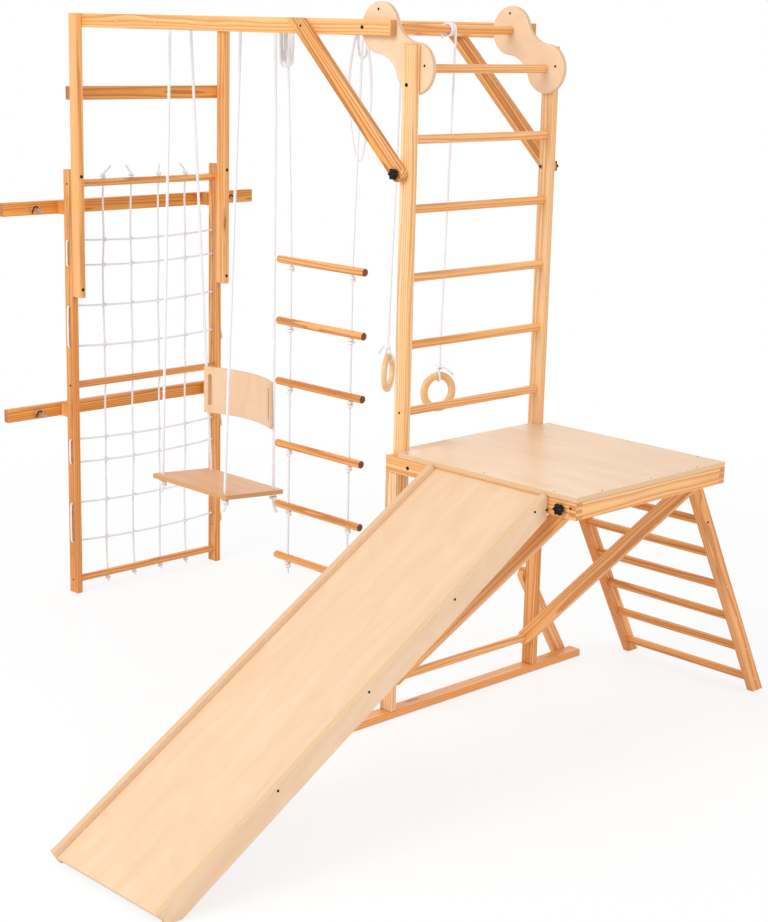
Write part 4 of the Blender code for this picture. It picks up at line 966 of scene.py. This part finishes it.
def build_platform():
    comb = finger_edges(RAIL_BOTTOM, RAIL_TOP, PLATFORM_REACH - POST_T - GAP, PLATFORM_REACH, True)
    rail = [(-RAIL_BACK, RAIL_TOP), (-RAIL_BACK, RAIL_BOTTOM)] + comb
    for label, sign in SIDES:
        stand_in(prism, f"platform_rail_{label}", rail, "Y", *span(MID_Y, OUTER_Y, sign), PINE, X,
                 CLOSE_EASE, slot="pale_pine")
        stand_in(plank, f"lower_post_{label}", *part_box(f"lower_post_{label}"),
                 PALE_PINE if label == "front" else ORANGE_PINE, slot="pale_pine")
        strap(f"platform_brace_{label}", "Y", span(INNER_Y, INNER_Y + POST_T, sign),
              (LOWER_POST_X, BASE_RUNG_Z), (BRACE_KNOB_X, RAIL_MID_Z), PINE, "pale_pine")
        bolt = (sign * (MID_Y + POST_T / 2), STRUT_BOLT_Z)
        strap(f"bearer_strut_{label}", "X", (STRUT_FRONT_X - POST_T, STRUT_FRONT_X), bolt,
              (bolt[0] + sign * STRUT_SPREAD, POST_T), PINE, "pale_pine", 0.0)
    left = finger_edges(RAIL_BOTTOM, RAIL_TOP, MID_Y - GAP, OUTER_Y, False)
    right = [(-y, z) for y, z in reversed(left)]
    stand_in(prism, "platform_rail_end", left + right, "X", PLATFORM_REACH - POST_T, PLATFORM_REACH, PINE, Y,
             CLOSE_EASE, slot="pale_pine")
    edge, side = POST_W / 2 + GAP, INNER_Y - GAP
    deck = [(edge, -OUTER_Y), (PLATFORM_REACH, -OUTER_Y), (PLATFORM_REACH, OUTER_Y), (edge, OUTER_Y),
            (edge, side), (DECK_TONGUE_X, side), (DECK_TONGUE_X, -side), (edge, -side)]
    stand_in(prism, "platform_deck", deck, "Z", PLATFORM_H - PLY_T, PLATFORM_H, PLY, X, PLY_EASE,
             slot="birch_plywood")
    stand_in(plank, "floor_bearer", *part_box("floor_bearer"), PINE, slot="light_pine")
    stand_in(cross_bar, "base_rung", LOWER_POST_X, BASE_RUNG_Z, side, slot="light_pine")


def side_ladder_y(z):
    return SIDE_LADDER_TOP_Y + (SIDE_LADDER_TOP - z) * math.tan(SIDE_LEAN)


def build_side_ladder():
    half, foot = POST_W / 2 / math.cos(SIDE_LEAN), side_ladder_y(0)
    leg = [(foot - half, 0), (foot + half, 0), (SIDE_LADDER_TOP_Y + half, SIDE_LADDER_TOP),
           (MID_Y, SIDE_LADDER_TOP),
           (MID_Y, SIDE_LADDER_TOP - (MID_Y - SIDE_LADDER_TOP_Y + half) / math.tan(SIDE_LEAN))]
    reach = SIDE_LADDER_W / 2
    up = Vector((0, -math.sin(SIDE_LEAN), math.cos(SIDE_LEAN)))
    for label, sign in LEFT_RIGHT:
        obj = prism(f"side_ladder_leg_{label}", leg, "X", *span(reach - POST_T, reach, sign, SIDE_LADDER_X),
                    ORANGE_PINE, up)
        settle(obj, "frame", "orange_pine", "side_ladder")
    for i, z in enumerate(SIDE_RUNGS):
        ends = [(SIDE_LADDER_X + sign * (reach - POST_T), side_ladder_y(z), z) for sign in (-1, 1)]
        obj = rod(f"side_ladder_rung_{i + 1}", *ends, ORANGE_PINE)
        settle(obj, "frame", "orange_pine", "side_ladder")


def slide_frame():
    up = Vector((0, math.cos(SLIDE_ANGLE), math.sin(SLIDE_ANGLE)))
    down = Vector((0, math.sin(SLIDE_ANGLE), -math.cos(SLIDE_ANGLE)))
    length = (PLATFORM_H - SLIDE_NOSE_H) / math.sin(SLIDE_ANGLE)
    return Vector((0, SLIDE_BACK_Y, PLATFORM_H)) - up * length, up, down, length


def build_slide():
    nose, up, down, length = slide_frame()

    def at_back(point):
        """Where a line up the slide from a point reaches the slide's back."""
        return point + up * ((SLIDE_BACK_Y - point.y) / math.cos(SLIDE_ANGLE))

    toe = nose + down * (SLIDE_NOSE_H / math.cos(SLIDE_ANGLE))
    low = nose + down * SLIDE_BOARD_D
    heel = low + up * (-low.z / math.sin(SLIDE_ANGLE))
    turn = math.pi / 2 + SLIDE_ANGLE
    hug = SLIDE_TOP_R * math.tan(turn / 2)
    corner = arc((SLIDE_BACK_Y - SLIDE_TOP_R, PLATFORM_H - hug), SLIDE_TOP_R, 0.0, turn, 16)
    outline = [p.yz for p in (nose, toe, heel, at_back(low))] + corner
    reach = SLIDE_W / 2
    for label, sign in LEFT_RIGHT:
        x0, x1 = span(reach - SLIDE_BOARD_T, reach, sign, SLIDE_X)
        stand_in(prism, f"slide_side_{label}", outline, "X", x0, x1, PLY, up, SLIDE_EASE,
                 slot="birch_plywood")
    width = (SLIDE_X - reach + SLIDE_BOARD_T, SLIDE_X + reach - SLIDE_BOARD_T)
    top, under = nose + down * SLIDE_LIP, nose + down * (SLIDE_LIP + SLIDE_DECK_T)
    deck = [p.yz for p in (top, under, at_back(under), at_back(top))]
    obj = prism("slide_deck_look", deck, "X", *width, PLY, up, CLOSE_EASE)
    mark_edges(obj, down)
    store_grain(obj, lambda point: ((point - nose).dot(up), point.x, (point - nose).dot(down)))
    settle(obj, "frame", "birch_plywood", "slide_deck")
    for i in range(SLIDE_BATTENS):
        start = under + up * (length * (i + 0.6) / SLIDE_BATTENS)
        back = start + down * POST_T
        corners = (start, back, back + up * POST_W, start + up * POST_W)
        obj = prism(f"slide_batten_{i + 1}", [p.yz for p in corners], "X", *width, PINE, X)
        settle(obj, "frame", "light_pine", "slide_deck")


def build_wall_ladder():
    holes = [(z, LACE_HOLE_R) for rows in NET_ROWS.values() for z in rows]
    holes += [(z, SPARE_HOLE_R) for z in SPARE_HOLES]
    for label, sign in SIDES:
        y0, y1 = span(MID_Y, OUTER_Y, sign)
        node = f"wall_lower_post_{label}"
        post = plank(f"{node}_look", *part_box(node), ORANGE_PINE)
        bm = bmesh.new()
        for z, radius in holes:
            rod_mesh(bm, (NET_X, y0 - 0.01, z), (NET_X, y1 + 0.01, z), radius, 20)
        cut(post, link(f"lace_cutter_{label}", bm, (ORANGE_PINE,)))
        set_grain(post, Z, X)
        settle(post, "frame", "orange_pine", node)
        node = f"wall_upper_post_{label}"
        stand_in(plank, node, *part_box(node), PINE, slot="orange_pine")
    for label, z in zip(("bottom", "middle", "top"), WALL_RUNG_HEIGHTS):
        stand_in(cross_bar, f"wall_rung_{label}", NET_X, z, MID_Y - GAP, ORANGE_PINE, slot="orange_pine")
    stand_in(plank, "wall_top_rail", *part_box("wall_top_rail"), BOARD_PINE, slot="orange_pine")
    front = WALL_X - POST_W - GAP
    face = front - SPACER_T
    for label, z in zip(("lower", "upper"), WALL_BOARD_HEIGHTS):
        node, low, high = f"wall_board_{label}", z - POST_W / 2, z + POST_W / 2
        stand_in(plank, node, (face - POST_T, -WALL_BOARD_HALF, low), (face, WALL_BOARD_HALF, high),
                 BOARD_PINE, slot="orange_pine")
        for side, sign in SIDES:
            y0, y1 = span(MID_Y, OUTER_Y, sign)
            obj = plank(f"wall_spacer_{label}_{side}", (face, y0, low), (front, y1, high), ORANGE_PINE)
            settle(obj, "frame", "orange_pine", node)


def knob_mesh(bm, sign):
    """A moulded star knob: hub, flared skirt and rounded lobes with a recessed cap."""
    levels = (
        (0.0, HUB_R * 0.92, 0.0), (0.001, HUB_R, 0.0), (HUB_H - 0.001, HUB_R, 0.0),
        (HUB_H, HUB_R + 0.0015, 0.1), (HUB_H + 0.0005, KNOB_R - 0.004, 0.8),
        (HUB_H + 0.002, KNOB_R - 0.001, 1.0), (HUB_H + 0.0045, KNOB_R, 1.0),
        (KNOB_H - 0.0055, KNOB_R, 1.0), (KNOB_H - 0.0025, KNOB_R - 0.001, 1.0),
        (KNOB_H - 0.0008, KNOB_R - 0.004, 0.8), (KNOB_H, KNOB_R - 0.008, 0.3),
        (KNOB_H, 0.0070, 0.0), (KNOB_H - 0.0012, 0.0066, 0.0), (KNOB_H - 0.0012, 0.0, 0.0),
    )
    loops = []
    for height, radius, lobe in levels:
        loop = []
        for angle in (2 * math.pi * k / KNOB_STEPS for k in range(KNOB_STEPS if radius else 1)):
            wave = math.cos(KNOB_LOBES * angle)
            r = radius + lobe * (KNOB_LOBE * wave - 0.0012 * max(0.0, -wave) ** 2)
            loop.append(bm.verts.new((r * math.cos(angle), sign * height, r * math.sin(angle))))
        loops.append(loop)
    bm.faces.new(loops[0])
    skin(bm, loops)


def build_knobs():
    """The knobs, each with a washer and the end of its stud on the inner side."""
    for place, x, z in (("knee", KNEE_KNOB_X, KNEE_KNOB_Z), ("platform", BRACE_KNOB_X, RAIL_MID_Z)):
        for label, sign in SIDES:
            name = f"knob_{place}_{label}"
            bm = bmesh.new()
            knob_mesh(bm, sign)
            obj = link(f"{name}_look", bm, (BLACK,))
            obj.data.transform(Matrix.Translation((x, sign * (OUTER_Y + GAP), z)))
            obj.modifiers.new("flat_faces", "WEIGHTED_NORMAL")
            settle(obj, name, "black_plastic", name)
            bm = bmesh.new()
            lathe(bm, STUD_WASHER, (x, sign * (INNER_Y - GAP), z), (0, -sign, 0))
            rod_mesh(bm, (x, sign * (INNER_Y + 0.001), z), (x, sign * (INNER_Y - 0.004), z), 0.004, 16)
            settle(link(f"{name}_stud", bm, (BOLT,)), "frame", "black_plastic")


def hardware_spots():
    """Each bolt, screw, screw cap and small screw as a point and the way that it faces."""
    bolts, screws, caps, small = [], [], [], []
    for _, sign in SIDES:
        out, aside = Vector((0, sign, 0)), X * sign
        inner, outer, centre = sign * (INNER_Y + POST_T), sign * OUTER_Y, sign * (MID_Y + POST_T / 2)
        bolts += [((x, inner, z), out) for x, z in (PLATE_BOLT, BEAM_BOLT)]
        bolts += [((RAIL_BOLT_X, outer, RAIL_MID_Z), out),
                  ((STRUT_FRONT_X - POST_T, centre, STRUT_BOLT_Z), -X)]
        bolts += [((WALL_X + POST_W, centre, z), X) for z in WALL_BOLTS]
        screws += [((x, outer, z), out) for x, z in (KNEE_SCREW, RAIL_SCREW, (LOWER_POST_X, BASE_RUNG_Z))]
        screws += [((NET_X, outer, z), out) for z in WALL_RUNG_HEIGHTS]
        for x, z in PLATE_SCREWS:
            screws += [((x, sign * PLATE_FACE_Y, z), -out), ((x, sign * (INNER_Y - GAP), z), out)]
        screws += [((SLIDE_X + sign * SLIDE_W / 2, y, z), aside) for y, z in SLIDE_SCREWS]
        leg_x = SIDE_LADDER_X + sign * SIDE_LADDER_W / 2
        *lower, top = [((leg_x, side_ladder_y(z), z), aside) for z in SIDE_RUNGS]
        first, *others = [((0, inner, FIRST_RUNG_Z + i * RUNG_PITCH), out) for i in range(RUNG_COUNT - 1)]
        screws += [top, first]
        caps += lower + others + [((x, inner, BEAM_Z), out) for x in BAR_XS[1:]]
        small += [((x, centre, PLATFORM_H), Z) for x in DECK_SCREW_XS]
        small.append(((WALL_X - POST_T - GAP, centre, TOP_RAIL_SCREW_Z), -X))
    small += [((PLATFORM_REACH - POST_T / 2, y, PLATFORM_H), Z) for y in DECK_SCREW_YS]
    return bolts, screws, caps, small


def build_hardware():
    for (name, radius, rise, mat), spots in zip(HEADS, hardware_spots()):
        profile = [(height * rise * radius, share * radius) for height, share in HEAD_PROFILE]
        bm = bmesh.new()
        for point, out in spots:
            lathe(bm, profile, Vector(point) + out * 0.0001, out, 20)
        obj = link(name, bm, (mat,))
        obj.modifiers.new("flat_faces", "WEIGHTED_NORMAL")
        settle(obj, "frame", "black_plastic" if mat is BOLT else "light_pine")


def build_anchors():
    """Hollow-wall anchors through the wall boards: washer, hex head, hook and spring."""
    heads, springs, hooks = bmesh.new(), bmesh.new(), bmesh.new()
    coil = [(0.018 + COIL_R * math.cos(a), 0.009 + 0.0036 * a / math.pi,
             -0.004 - 0.0014 * a / math.pi + COIL_R * math.sin(a))
            for a in (math.pi * k / 8 for k in range(65))]
    for z in WALL_BOARD_HEIGHTS:
        for _, sign in SIDES:
            base = Vector((WALL_X - POST_W - 2 * GAP - SPACER_T, sign * ANCHOR_Y, z))
            lathe(heads, ANCHOR_WASHER, base, X, 28)
            lathe(heads, ANCHOR_HEX, base, X, 6)
            tube_mesh(hooks, smooth_path([base + Vector(spot) for spot in HOOK], 0.004), 0.0056)
            tube_mesh(springs, smooth_path([base + Vector(spot) for spot in coil]), 0.0028, 8)
    obj = link("wall_anchors", heads, (STEEL,))
    obj.modifiers.new("flat_faces", "WEIGHTED_NORMAL")
    ease(obj, 0.0005, 1)
    settle(obj, "frame", "black_plastic")
    settle(link("anchor_springs", springs, (STEEL,)), "frame", "black_plastic")
    settle(link("anchor_hooks", hooks, (BOLT,)), "frame", "black_plastic")


def build_floor():
    """A white floor that fades into the white behind the set."""
    s = Surface("white_floor")
    spot = s.add("ShaderNodeTexNoise", {"Scale": 1.5, "Detail": 2.0}).outputs["Fac"]
    tone = s.layer((0.93, 0.93, 0.93), (spot, 1.0, (0.95, 0.95, 0.95)))
    feed(s.tree, s.shader, {"Base Color": tone, "Roughness": 0.9})
    where = s.add("ShaderNodeTexCoord").outputs["Object"]
    away = s.add("ShaderNodeVectorMath", {0: where}, operation="LENGTH").outputs["Value"]
    far = s.plus(s.times(s.ramp(away, *FLOOR_FADE), 0.22), 0.78)
    white = s.add("ShaderNodeEmission", {"Color": (1, 1, 1, 1), "Strength": 1.0})
    rays = s.add("ShaderNodeLightPath").outputs
    direct = s.calc("ADD", rays["Is Camera Ray"], rays["Is Glossy Ray"], clamp=True)
    faded = s.add("ShaderNodeMixShader", {0: s.times(direct, far), 1: s.shader.outputs[0],
                                          2: white.outputs[0]})
    feed(s.tree, s.tree.nodes["Material Output"], {"Surface": faded.outputs[0]})
    bm = bmesh.new()
    bmesh.ops.create_grid(bm, x_segments=1, y_segments=1, size=14.0)
    floor = link("floor", bm, (s.material,))
    floor.location = (0, 0, -0.0005)


def build_light():
    """White all round that shines softly, and three wide lamps."""
    world = bpy.data.worlds.new("studio")
    bpy.context.scene.world = world
    world.use_nodes = True
    tree = world.node_tree
    tree.nodes.clear()
    path = add(tree, "ShaderNodeLightPath")
    light, seen = (add(tree, "ShaderNodeBackground", {"Color": (1, 1, 1, 1), "Strength": strength})
                   for strength in (WORLD_LIGHT, 1.0))
    mix = add(tree, "ShaderNodeMixShader", {0: path.outputs["Is Camera Ray"], 1: light.outputs[0],
                                            2: seen.outputs[0]})
    add(tree, "ShaderNodeOutputWorld", {"Surface": mix.outputs[0]})
    for name, place, size, power in LAMPS:
        lamp = bpy.data.lights.new(name, "AREA")
        lamp.shape, lamp.size, lamp.energy = "DISK", size, power
        obj = bpy.data.objects.new(name, lamp)
        obj.location = place
        obj.rotation_euler = (LAMP_TARGET - Vector(place)).to_track_quat("-Z", "Y").to_euler()
        bpy.context.collection.objects.link(obj)
    bpy.context.scene.view_settings.view_transform = "Standard"


build_camera()
build_swing()
build_rope_ladder()
build_rings()
build_net()
build_tower()
build_overhead()
build_platform()
build_side_ladder()
build_slide()
build_wall_ladder()
build_knobs()
build_hardware()
build_anchors()
build_floor()
build_light()
